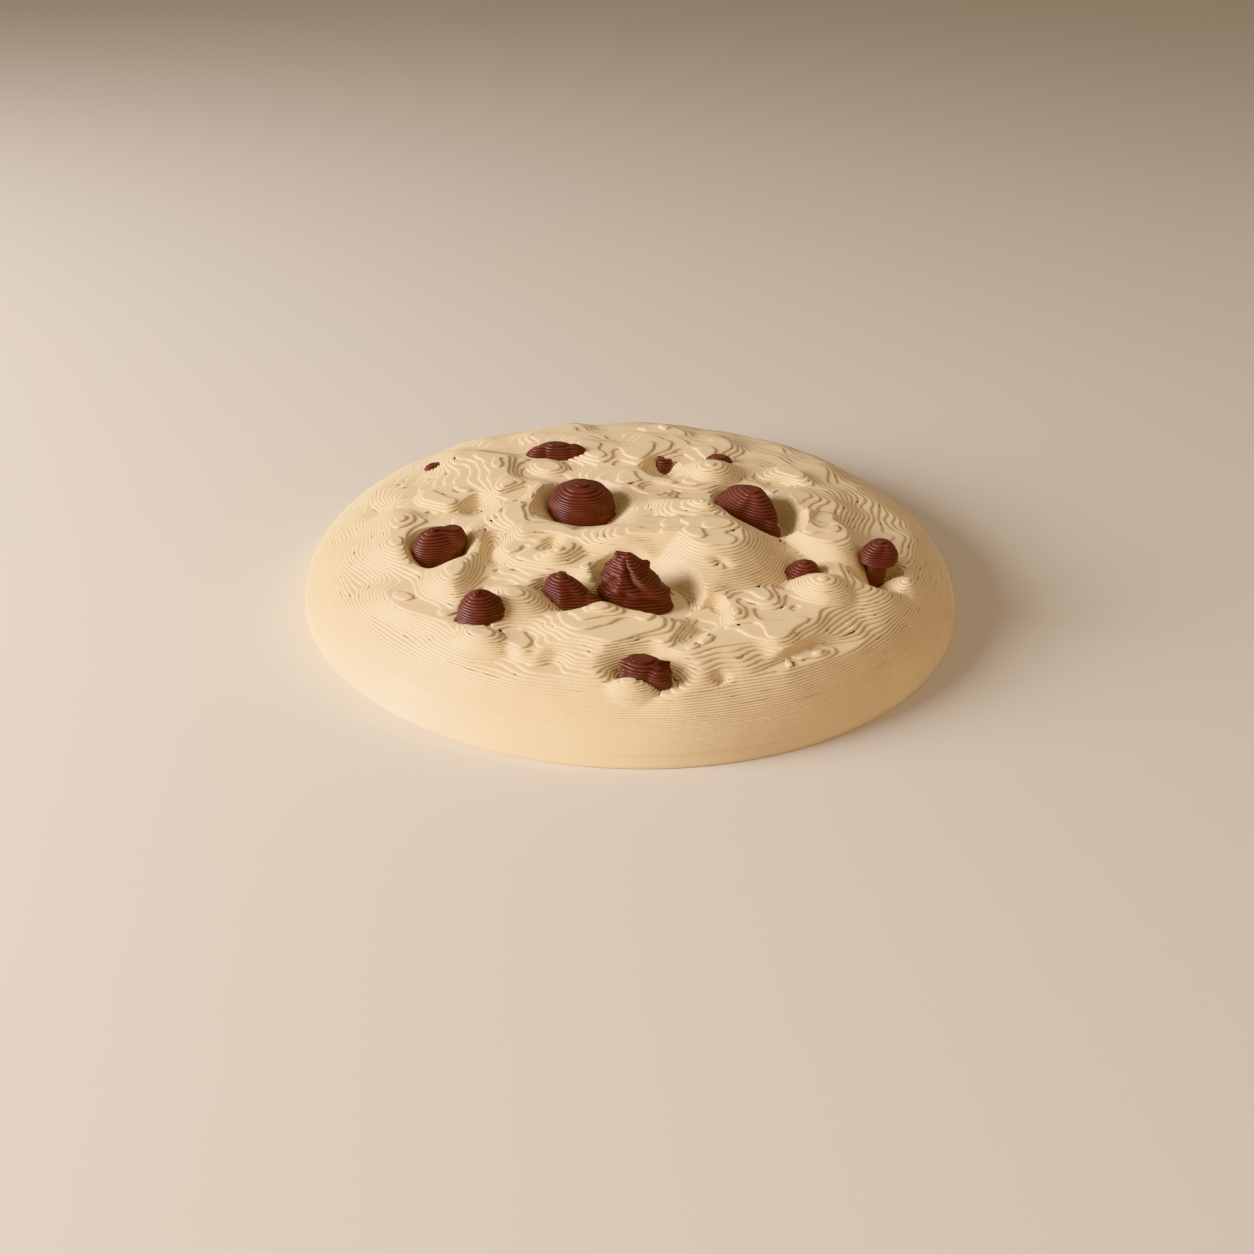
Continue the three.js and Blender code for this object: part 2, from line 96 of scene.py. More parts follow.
# Soft rises (+) and hollows (-) of the ground: name, middle x and y, half lengths,
# turn in degrees, rise, and the share of the half length that stays level.
GROUND = (
    ("crown", -2.0, -4.0, 36.0, 32.0, 0, 0.9, 0.25),
    ("tongue", -17.2, 3.5, 6.5, 9.5, -15, 0.5, 0.3),
    ("left plateau", -27.6, 4.0, 5.5, 5.0, 0, 0.6, 0.4),
    ("left mound", -33.5, -5.0, 6.5, 5.6, 0, 0.9, 0.0),
    ("left ridge", -33.6, -11.5, 4.4, 6.0, 10, 0.9, 0.0),
    ("front left ridge", -24.0, -21.5, 4.6, 8.0, -8, 1.1, 0.1),
    ("narrow ridge", -21.6, -11.5, 2.4, 8.0, 8, 0.7, 0.1),
    ("middle plateau", -12.4, -12.0, 7.6, 7.0, 0, 0.9, 0.5),
    ("back left rise", -25.0, 15.0, 8.5, 10.0, 0, 0.8, 0.3),
    ("back rise", -2.0, 26.0, 15.0, 10.0, 0, 0.6, 0.4),
    ("right back rise", 27.0, 4.0, 8.0, 14.0, 0, 0.9, 0.3),
    ("small plateau", 3.6, 8.4, 4.0, 3.2, 0, 0.35, 0.6),
    ("front band", -6.0, -35.6, 10.0, 3.6, 0, 0.55, 0.4),
    ("round chip hollow", -7.4, 1.9, 8.6, 9.0, 0, -2.4, 0.4),
    ("crescent chip hollow", 18.4, 1.0, 6.6, 11.5, 22, -3.1, 0.4),
    ("left chip hollow", -26.4, -11.4, 5.4, 6.6, 8, -2.3, 0.45),
    ("tall chip hollow", 1.2, -22.2, 8.4, 6.6, 0, -1.6, 0.4),
    ("drop chip hollow", -8.0, -23.6, 6.0, 5.6, 0, -1.7, 0.35),
    ("triangle flat", 9.4, -27.0, 4.2, 4.6, 0, -0.95, 0.5),
    ("gully", 7.6, -32.0, 2.2, 5.4, -35, -0.8, 0.1),
    ("half-hidden chip hollow", 22.0, -15.8, 5.6, 5.4, 0, -2.5, 0.35),
    ("capped chip hollow", 34.0, -12.8, 4.6, 6.6, -8, -2.4, 0.35),
    ("left dimple", -37.5, 2.2, 3.4, 4.4, 0, -0.7, 0.0),
    ("left pit", -22.6, 1.4, 4.8, 6.4, -15, -1.0, 0.0),
    ("valley pit", -18.9, -13.0, 4.2, 9.0, -4, -1.1, 0.0),
    ("front pit", -9.0, -37.4, 3.0, 2.2, 0, -0.6, 0.0),
    ("front chip hollow", 2.3, -38.6, 7.0, 4.8, -8, -1.6, 0.3),
    ("slit chip hollow", 4.6, 16.5, 4.0, 5.6, 0, -1.4, 0.2),
    ("front left chip hollow", -19.6, -28.8, 4.4, 3.4, 0, -0.7, 0.3),
)

# Mounds that stand on the ground with a creased foot: name, middle x and y, half
# lengths, turn, rise over the dome, fall from the top to the half lengths, share of the
# half length that stays level, and how much the flank steepens.
MOUNDS = (
    ("great mound", 11.3, -10.5, 12.0, 14.2, 0, 2.9, 3.9, 0.3, 1.3),
    ("great mound shoulder", 3.0, -10.0, 20.0, 7.4, 2, 2.85, 3.3, 0.15, 1.3),
    ("great mound crest", 9.6, -2.4, 9.0, 5.0, -28, 3.1, 2.2, 0.0, 1.5),
    ("rear mound", 12.2, 14.6, 6.4, 6.6, 0, 1.8, 2.8, 0.0, 2.2),
    ("back left bump", -13.2, 15.4, 4.4, 4.2, 0, 1.0, 1.2, 0.0, 2.0),
    ("front left mound", -14.8, -25.8, 7.0, 5.4, -28, 1.55, 2.5, 0.05, 1.5),
    ("front left bump", -18.2, -34.0, 4.6, 2.4, -12, 1.0, 1.2, 0.0, 2.0),
    ("front plate", -2.4, -31.0, 9.6, 4.6, 4, 0.35, 1.9, 0.4, 1.5),
    ("front right mound", 25.8, -20.2, 6.6, 5.6, -22, 1.35, 2.8, 0.05, 1.6),
    ("right fold", 25.9, -5.4, 5.6, 10.2, 32, 2.0, 3.0, 0.5, 2.5),
    ("right rim mound", 38.4, -16.0, 3.8, 4.4, 0, 1.0, 2.4, 0.0, 1.8),
    ("front bump", 0.2, -42.2, 2.9, 1.9, 0, 1.1, 1.2, 0.0, 2.0),
)

# Bowls carved round chips, with steep smooth flanks: name, middle x and y, half lengths,
# turn, bottom over the dome, rise from the bottom to the half lengths, share of the half
# length that stays level, and how much the flank steepens.
BOWLS = (
    ("tall chip bowl", 2.5, -21.9, 10.0, 6.6, -40, -1.6, 3.5, 0.6, 1.6),
    ("round chip bowl", -7.2, 3.8, 7.6, 7.2, -20, -1.4, 3.2, 0.6, 1.5),
    ("crescent chip bowl", 18.4, 2.0, 6.0, 10.5, 22, -2.0, 3.4, 0.5, 1.5),
)

# Nearly level terraces with steep edges: name, middle x and y, half lengths, turn, height
# over the table, and the share of the half length that is level.
TERRACES = (
    ("plate", -2.4, -31.4, 9.2, 3.5, 3, 10.0, 0.6),
    ("front left terrace", -28.6, -24.6, 9.6, 4.4, -42, 9.0, 0.3),
    ("triangle flat", 10.2, -27.0, 3.0, 4.4, 8, 8.7, 0.5),
    ("right plateau", 18.0, -28.6, 9.6, 4.2, 36, 9.45, 0.45),
    ("front right shelf", 22.6, -33.9, 9.5, 2.6, 33, 7.65, 0.6),
    ("middle plateau", -14.8, -13.6, 4.2, 4.8, 30, 11.3, 0.3),
    ("small plateau", 3.7, 8.9, 4.4, 2.4, 0, 10.6, 0.65),
    ("left plateau", -27.8, 4.2, 4.4, 3.4, 10, 10.6, 0.4),
    ("right flat", 27.6, -2.6, 3.0, 4.4, -10, 11.2, 0.6),
    ("front left flat", -13.4, -34.2, 2.9, 2.6, 0, 9.5, 0.3),
    ("back flat", -3.6, 23.0, 5.6, 4.4, 8, 10.7, 0.5),
    ("back right flat", 24.0, 15.0, 5.0, 3.4, -20, 10.8, 0.4),
    ("tongue flat", -17.0, 5.0, 2.8, 6.4, -15, 10.7, 0.3),
    ("rear flat", 4.0, 33.0, 7.0, 3.0, 0, 9.9, 0.5),
)
# Share of the waves and the unevenness that a terrace keeps, and the noise that bends its
# outline: wavelength, reach and seed.
TERRACE_RIPPLE_SHARE = 0.6
TERRACE_BEND = (7.0, 2.2, 51)

# Small dents (+) and knobs (-) of the finished top: name, middle x and y, half lengths,
# turn, depth.
DENTS = (
    ("crest pit", 7.8, -5.9, 2.2, 1.2, 35, 0.45),
    ("crest crease", 3.4, -7.0, 2.2, 0.9, 15, 0.3),
    ("flank dimple", 12.0, -17.6, 2.0, 1.0, -20, 0.5),
    ("middle pit", -11.0, -12.4, 2.2, 3.4, -30, 0.9),
    ("great mound foot", 14.2, -24.0, 5.0, 4.4, 0, 1.05),
    ("swirl crest", 10.1, -1.6, 3.6, 1.9, -28, -0.5),
    ("mound knob", 12.4, -8.6, 4.6, 2.8, 10, -0.45),
    ("crest knob", 5.4, -11.0, 5.6, 2.2, 6, -0.3),
    ("ridge knob", -2.6, -12.4, 5.4, 2.0, 3, -0.3),
    ("swirl slope", 3.0, -5.0, 9.0, 4.2, -6, -1.25),
    ("swirl shelf", 6.4, -7.2, 4.2, 2.4, 4, -0.35),
    ("first shelf island", 19.6, -36.2, 1.5, 0.8, 33, -0.4),
    ("second shelf island", 23.6, -33.4, 1.9, 0.9, 33, -0.4),
    ("shelf pit", 11.0, -39.2, 1.6, 1.2, 30, 0.8),
)

# Fine unevenness: wavelength, height and seed of each layer of noise, and the noise that
# bends them all: wavelength, reach and seed.
NOISE = (
    (8.0, 0.5, 11),
    (4.3, 0.22, 23),
    (2.2, 0.05, 37),
)
NOISE_BEND = (9.0, 1.1, 5)
# Large odd numbers that mix a place and a seed into one well scattered number.
MIX_FACTORS = (73856093, 19349663, 83492791)
LAST_MIX_FACTOR = 1274126177

# Distance in mm over which the slope of the top is measured, and the least slope used.
SLOPE_PROBE = 0.05
LEAST_SLOPE = 1e-4

# Each ring of the starting disc has this many more points than the ring inside it, and
# the disc goes on this many layers below the lowest step, so that no step is cut off.
SECTORS = 6
DISC_OVERLAP = 1.2

# The wall under the steps goes on in the same layers, as rings of so many points, with a
# groove at least so deep in mm between two of them.
WALL_SEGMENTS = 300
WALL_GROOVE = 0.05
# Edge of the first layer, pressed flat and a little wide onto the print bed, from its top
# down: distance out from the wall in mm, share of the layer height.
FIRST_LAYER_EDGE = ((0.02, 1.0), (0.1, 0.8), (0.12, 0.5), (0.05, 0.2), (-0.2, 0.0))

# Tags tell which points lie in the same crease, whose edges are shaded as sharp. The
# second row of a crease has its level plus a step that no level reaches.
NO_TAG = -1
CREASE_TAG_STEP = 1000

# Chips: place and half lengths of the foot, turn, height of foot and top, sideways lean
# of the top, how full the flank is at the right, back, left and front of the chip's own
# axes (below 1 it is hollow), and how level the crown is.
# lobes swell the chip out: x and y from the chip's place, half lengths, turn, lowest and
# highest point over the foot, fullness. notches cut in the same way. grooves wind round
# it: height over the foot at the right, rise per turn, depth, width, first and last angle.
# folds run up it: angle at the low end, drift in degrees per mm up, spread in degrees,
# lowest and highest point over the foot, depth (- for a ridge). stem is the share of the
# half lengths that the lowest stem_share of the height keeps, under a cap. rough is how
# lumpy the skin is, and jag is how far the layers stand in and out at the right.
CHIPS = {
    "chip_back_left": dict(
        x=-31.4, y=16.9, a=1.7, b=1.0, turn=25, foot=9.0, top=10.0, lean=(0.2, 0),
        sides=(2, 2, 2, 2), crown=2),
    "chip_back_bean": dict(
        x=-12.1, y=21.2, a=4.1, b=2.8, turn=-4, foot=9.2, top=12.0, lean=(-0.6, 0.3),
        sides=(2.8, 2, 1.8, 2), crown=2.0,
        lobes=((-2.9, -0.5, 2.6, 2.0, 20, 0, 2.4, 2.0), (2.6, 0.1, 2.3, 2.0, 0, 0, 2.6, 2.2)),
        notches=((1.4, -2.6, 1.2, 0.8, 0, -0.5, 0.7),)),
    "chip_back_slit": dict(
        x=4.9, y=19.6, a=1.5, b=1.7, turn=0, foot=8.4, top=10.3, lean=(-0.2, 0.3),
        sides=(2.4, 2, 2.4, 2), crown=2,
        lobes=((-0.9, 0.5, 0.5, 0.6, 0, 0, 2.5, 2.4), (1.0, 0.1, 0.45, 0.6, 0, 0, 2.1, 2.4))),
    "chip_back_low": dict(
        x=13.6, y=20.2, a=2.3, b=1.6, turn=0, foot=9.8, top=11.2, lean=(0, 0),
        sides=(2, 2, 2, 2), crown=2),
    "chip_round": dict(
        x=-7.5, y=3.0, a=5.0, b=5.0, turn=0, foot=8.9, top=13.4, lean=(0, 0),
        sides=(2.0, 2.0, 2.2, 2.0), crown=3.2,
        notches=((3.4, -3.9, 0.6, 0.6, 0, 1.2, 1.9),)),
    "chip_crescent": dict(
        x=16.3, y=1.9, a=3.8, b=6.6, turn=28, foot=8.5, top=13.5, lean=(0.9, 0.7),
        sides=(2.8, 1.6, 1.4, 1.7), crown=2.3,
        lobes=((3.6, -5.2, 1.3, 2.3, 20, 0, 2.6, 1.6),),
        notches=((1.2, -5.6, 1.1, 1.3, 20, -0.6, 1.4),),
        folds=((248, 9, 26, 0.6, 5.2, 1.1), (304, 6, 12, 0.4, 4.8, -0.45))),
    "chip_left": dict(
        x=-26.7, y=-11.3, a=3.8, b=2.9, turn=35, foot=8.1, top=12.1, lean=(-0.5, 0.7),
        sides=(3, 2.2, 2.2, 2.0), crown=2.4,
        lobes=((1.9, 1.3, 1.9, 1.9, 0, 0.9, 4.2, 2.6),),
        notches=((3.5, -1.5, 1.6, 1.7, 0, -1.5, 2.2),)),
    "chip_drop": dict(
        x=-7.6, y=-24.3, a=3.7, b=2.6, turn=-28, foot=8.9, top=12.5, lean=(-1.2, 0.8),
        sides=(1.4, 1.9, 2.6, 2.0), crown=1.9,
        lobes=((2.4, -0.9, 2.3, 1.5, -30, 0, 2.0, 1.4), (-1.3, 0.9, 0.85, 0.7, 0, 2.6, 4.0, 3.0)),
        folds=((305, -8, 22, 0.4, 3.4, 0.5), (250, 0, 16, 0.3, 2.6, -0.25))),
    "chip_tall": dict(
        x=0.3, y=-22.2, a=4.7, b=3.6, turn=-16, foot=9.0, top=14.9, lean=(-0.7, 0.9),
        sides=(0.95, 1.4, 1.6, 1.5), crown=1.9,
        lobes=((2.5, -1.2, 2.9, 2.2, -10, 0, 2.4, 2.4), (-2.1, 1.0, 0.6, 0.6, 0, 4.7, 5.9, 2.5),
               (1.5, 1.0, 0.6, 0.7, 0, 3.4, 4.7, 2.5), (-3.2, 1.2, 0.7, 0.7, 0, 2.2, 4.0, 2.5)),
        folds=((296, -13, 13, 1.6, 5.6, 0.7), (246, -6, 14, 1.0, 4.6, -0.35),
               (318, -8, 13, 1.2, 5.0, -0.5), (212, 7, 13, 1.6, 4.6, 0.45)),
        rough=0.085,
        grooves=((0.7, 2.8, 0.5, 0.4, 150, 335), (2.1, 3.4, 0.4, 0.36, 170, 320),
                 (3.6, 2.2, 0.35, 0.3, 190, 330))),
    "chip_front_left": dict(
        x=-18.7, y=-28.7, a=3.3, b=2.9, turn=0, foot=8.6, top=12.6, lean=(-0.4, 0.3),
        sides=(2.4, 1.9, 1.8, 2), crown=2.0, jag=0.16,
        lobes=((-0.6, -0.4, 0.4, 0.35, 30, 3.7, 4.4, 3.0),)),
    "chip_half_hidden": dict(
        x=23.1, y=-15.5, a=3.0, b=2.8, turn=0, foot=7.7, top=11.3, lean=(0.5, 0),
        sides=(2, 2, 2, 2), crown=1.8),
    "chip_capped": dict(
        x=33.7, y=-12.0, a=2.6, b=2.5, turn=0, foot=7.9, top=12.8, lean=(0.8, 0.2),
        sides=(1.5, 2.2, 2.8, 2.2), crown=2.4, stem=0.6, stem_share=0.4,
        lobes=((-0.1, -0.1, 2.0, 1.9, 0, 1.5, 4.2, 2.5),),
        folds=((250, 10, 20, 2.4, 5.2, 0.35),)),
    "chip_front": dict(
        x=1.8, y=-39.0, a=2.8, b=2.1, turn=-14, foot=8.0, top=9.8, lean=(-0.3, 0.3), rough=0.07,
        sides=(2.4, 2.4, 2.4, 2.2), crown=2.8, jag=0.1,
        lobes=((-0.2, 0.3, 1.6, 1.2, 0, 0, 2.0, 9.0), (1.7, -1.2, 1.6, 1.4, -30, 0, 1.5, 2.2),
               (2.7, 0.2, 0.6, 0.35, -20, 0, 1.7, 3.0), (-2.3, 0.2, 0.6, 0.5, 0, 0.3, 1.7, 3.0),
               (-2.2, -0.7, 0.5, 0.45, 0, -0.2, 1.1, 3.0))),
}

# How squarely a lobe meets the rest of its chip, and the least share of a lobe drawn.
LOBE_BLEND_POWER = 10
LEAST_LOBE_SHARE = 0.05
# A notch only cuts where its far side reaches this share of the outline.
NOTCH_REACH_SHARE = 0.8
# Angle in degrees that a groove's height is given for, and the length of its faded ends.
GROOVE_START = 340
GROOVE_END_LENGTH = 25
# Lumps of a chip's skin: number round it, change with height in mm, and usual size.
CHIP_LUMP_COUNT = 1.6
CHIP_LUMP_RISE = 0.9
CHIP_ROUGHNESS = 0.035
# Layers that stand in and out: usual reach in mm, and change with height in mm.
CHIP_JAG = 0.03
JAG_RISE = 3.1
# Share of the height at which a crown stops closing in, so that it ends in a flat.
CROWN_END = 0.995
# Least radii in mm of an outline and of a ring drawn from it.
LEAST_OUTLINE = 0.15
LEAST_RING = 0.04
# How far a chip goes on under the body's top, in mm.
CHIP_ROOT = 0.5
# A printed layer of a chip, from its foot: share of the layer height, inset in mm.
CHIP_BEAD = ((0.0, 0.09), (0.22, 0.02), (0.5, 0.0), (0.8, 0.015), (1.0, 0.06))

PLA_IOR = 1.5
# Patches of slightly different colour in the filament, in mm across. The share of the
# noise where the deep colour ends and where the pale one starts.
DOUGH_PATCH = 11.1
CHIP_PATCH = 3.85
PATCH_START = 0.3
PATCH_END = 0.7
# Drag marks of the nozzle are about 0.05 mm apart, too fine to show, and are drawn as a
# grain of this size and depth in mm.
GRAIN_SIZE = 0.385
GRAIN_DEPTH = 0.04
# Grain of the floor, in mm across and deep.
FLOOR_GRAIN = 1.43
FLOOR_GRAIN_DEPTH = 0.05

# The photograph's width, the camera's focal length and how far the horizon lies above
# the middle of the picture, all in pixels of the photograph. The sensor's width is in
# mm, and the nearest distance drawn in metres.
PHOTO_PIXELS = 1254
FOCAL_PIXELS = 1256
HORIZON_PIXELS = 753
SENSOR_WIDTH = 36
CLIP_START = 0.01

# A low, slightly cool light from the left and a weak warm one from the right: place and
# size in metres, linear colour.
KEY_LIGHT = dict(place=(-0.64, -0.17, 0.22), size=0.4, colour=(0.94, 1.0, 1.1))
FILL_LIGHT = dict(place=(0.5, -0.35, 0.4), size=0.5, colour=(1.0, 0.82, 0.62))
LIGHT_TARGET = (0, 0, 6 * MM)
# Warm tone of the even light from all round, as a linear colour with alpha.
WORLD_COLOUR = (1.0, 0.84, 0.69, 1.0)


def smooth_step(t):
    """Eases a share from 0 to 1 with level ends, and holds it there outside."""
    s = np.clip(t, 0.0, 1.0)
    return s * s * (3.0 - 2.0 * s)


def soft_max(a, b, blend):
    """Larger of two heights, with the corner between them rounded."""
    share = np.clip(0.5 + 0.5 * (a - b) / blend, 0.0, 1.0)
    return b * (1 - share) + a * share + blend * share * (1 - share)


def dome_height(radius):
    """Height of the plain dome, before its relief, at a distance from its middle."""
    share = np.clip(radius / BODY_RADIUS, 0.0, 1.0)
    return DOME_HEIGHT * (1.0 - share**RIM_SQUARENESS) ** (1.0 / CROWN_SQUARENESS)


def rim_radius(height):
    """Radius of the dome where its flank is at a given height."""
    share = 1.0 - (height / DOME_HEIGHT) ** CROWN_SQUARENESS
    return BODY_RADIUS * share ** (1.0 / RIM_SQUARENESS)


def along_and_across(x, y, turn):
    """Distances along and across a direction that is turned by some degrees."""
    angle = math.radians(turn)
    along = x * math.cos(angle) + y * math.sin(angle)
    across = y * math.cos(angle) - x * math.sin(angle)
    return along, across


def oval_distance(x, y, middle_x, middle_y, a, b, turn):
    """Distance from the middle of an oval feature, where 1 is its outline."""
    along, across = along_and_across(x - middle_x, y - middle_y, turn)
    return np.hypot(along / a, across / b)


def inside_share(x, y, middle_x, middle_y, a, b, turn, level):
    """Share of a feature's height at a place: 1 on its level part, 0 outside its outline."""
    distance = oval_distance(x, y, middle_x, middle_y, a, b, turn)
    return smooth_step((1 - distance) / (1 - level))


def flank_fall(x, y, middle_x, middle_y, a, b, turn, level, power):
    """How far a mound's flank has come down at a place, where 1 is its outline."""
    distance = oval_distance(x, y, middle_x, middle_y, a, b, turn)
    return (np.maximum(distance - level, 0) / (1 - level)) ** power


def ripple(x, y):
    """Height of the slow waves that run over the whole top."""
    total = 0.0
    for length, turn, phase, height in WAVES:
        along, across = along_and_across(x, y, turn)
        bend = np.sin(2 * math.pi * across / (length * WAVE_BEND_LENGTH) + 2 * phase)
        total = total + height * np.sin(2 * math.pi * along / length + phase + WAVE_BEND * bend)
    return total


def lattice_slopes(column, row, seed):
    """Slope of the noise at the corners of a square grid, drawn by a fixed rule."""
    column_factor, row_factor, seed_factor = MIX_FACTORS
    mixed = (column * column_factor) ^ (row * row_factor) ^ (seed * seed_factor)
    mixed = (mixed ^ (mixed >> 13)) * LAST_MIX_FACTOR
    angle = ((mixed ^ (mixed >> 16)) & 0xFFFF) * (2 * math.pi / 0x10000)
    return np.cos(angle), np.sin(angle)


def noise(x, y, seed):
    """Smooth noise between about -0.7 and 0.7, with bumps about one unit apart."""
    column, row = np.floor(x).astype(np.int64), np.floor(y).astype(np.int64)
    dx, dy = x - column, y - row
    blend_x = dx**3 * (dx * (6 * dx - 15) + 10)
    blend_y = dy**3 * (dy * (6 * dy - 15) + 10)
    corners = []
    for step_y in (0, 1):
        for step_x in (0, 1):
            slope_x, slope_y = lattice_slopes(column + step_x, row + step_y, seed)
            corners.append(slope_x * (dx - step_x) + slope_y * (dy - step_y))
    front = corners[0] + blend_x * (corners[1] - corners[0])
    back = corners[2] + blend_x * (corners[3] - corners[2])
    return front + blend_y * (back - front)


def bent_places(x, y, bend):
    """Places pushed sideways by noise with a wavelength, a reach and a seed."""
    length, reach, seed = bend
    bent_x = x + reach * noise(x / length, y / length, seed)
    bent_y = y + reach * noise(x / length, y / length, seed + 1)
    return bent_x, bent_y


def unevenness(x, y):
    """Fine lumps that make the edges of the layers wander."""
    bent_x, bent_y = bent_places(x, y, NOISE_BEND)
    total = 0.0
    for length, height, seed in NOISE:
        total = total + height * noise(bent_x / length, bent_y / length, seed)
    return total


def add_mounds_and_bowls(relief, x, y, wave):
    """Relief with mounds set on it and bowls carved out of it, both with a creased edge."""
    for _, middle_x, middle_y, a, b, turn, rise, fall, level, power in MOUNDS:
        flank = flank_fall(x, y, middle_x, middle_y, a, b, turn, level, power)
        mound = rise - fall * flank + MOUND_RIPPLE_SHARE * wave
        relief = soft_max(mound, relief, MOUND_BLEND)
    for _, middle_x, middle_y, a, b, turn, bottom, rise, level, power in BOWLS:
        flank = flank_fall(x, y, middle_x, middle_y, a, b, turn, level, power)
        bowl = bottom + rise * flank + MOUND_RIPPLE_SHARE * wave
        relief = -soft_max(-bowl, -relief, MOUND_BLEND)
    return relief


def add_terraces(relief, x, y, wave, dome):
    """Relief drawn to the height of each terrace inside its bent outline."""
    bent_x, bent_y = bent_places(x, y, TERRACE_BEND)
    for _, middle_x, middle_y, a, b, turn, height, level in TERRACES:
        share = inside_share(bent_x, bent_y, middle_x, middle_y, a, b, turn, level)
        relief = relief + share * (height - dome + TERRACE_RIPPLE_SHARE * wave - relief)
    return relief


def surface_height(x, y):
    """Height of the top of the body over the table, in millimetres."""
    wave = ripple(x, y) + unevenness(x, y)
    radius = np.hypot(x, y)
    dome = dome_height(radius)
    relief = wave
    for _, middle_x, middle_y, a, b, turn, rise, level in GROUND:
        relief = relief + rise * inside_share(x, y, middle_x, middle_y, a, b, turn, level)
    relief = add_mounds_and_bowls(relief, x, y, wave)
    relief = add_terraces(relief, x, y, wave, dome)
    for _, middle_x, middle_y, a, b, turn, depth in DENTS:
        relief = relief - depth * inside_share(x, y, middle_x, middle_y, a, b, turn, 0)
    fade = (radius - RELIEF_FULL_RADIUS) / (RELIEF_END_RADIUS - RELIEF_FULL_RADIUS)
    return dome + (1 - smooth_step(fade)) * relief


def surface_slope(x, y):
    """Steepness of the top and the uphill direction, as slope, x part and y part."""
    rise_x = surface_height(x + SLOPE_PROBE, y) - surface_height(x - SLOPE_PROBE, y)
    rise_y = surface_height(x, y + SLOPE_PROBE) - surface_height(x, y - SLOPE_PROBE)
    rise_x = rise_x / (2 * SLOPE_PROBE)
    rise_y = rise_y / (2 * SLOPE_PROBE)
    slope = np.maximum(np.hypot(rise_x, rise_y), LEAST_SLOPE)
    return slope, rise_x / slope, rise_y / slope


def ring_triangles(ring, inner, outer):
    """Triangles of one ring of a disc, from the first vertices of its two circles."""
    inner_count = max(1, SECTORS * (ring - 1))
    outer_count = SECTORS * ring
    triangles = []
    for k in range(outer_count):
        sector = k // ring
        here = outer + k
        after = outer + (k + 1) % outer_count
        near = inner + (k - sector) % inner_count
        triangles.append((near, here, after))
        if k % ring:
            before = inner + (k - sector - 1) % inner_count
            triangles.append((near, before, here))
    return triangles


def disc_rings(radius, spacing):
    """Points and triangles of a disc made of rings of nearly equal triangles."""
    count = int(round(radius / spacing))
    points = [(0.0, 0.0)]
    triangles = []
    inner = 0
    for ring in range(1, count + 1):
        outer = len(points)
        angles = np.arange(SECTORS * ring) * (2 * math.pi / (SECTORS * ring))
        distance = radius * ring / count
        points.extend(zip(distance * np.cos(angles), distance * np.sin(angles)))
        triangles.extend(ring_triangles(ring, inner, outer))
        inner = outer
    return np.array(points), np.array(triangles)


def real_triangles(a, b, c, as_given):
    """Triangles with three different corners, turned round where as_given is false."""
    real = (a != b) & (b != c) & (a != c)
    given, turned = np.column_stack([a, b, c]), np.column_stack([a, c, b])
    return np.where(as_given[:, None], given, turned)[real]


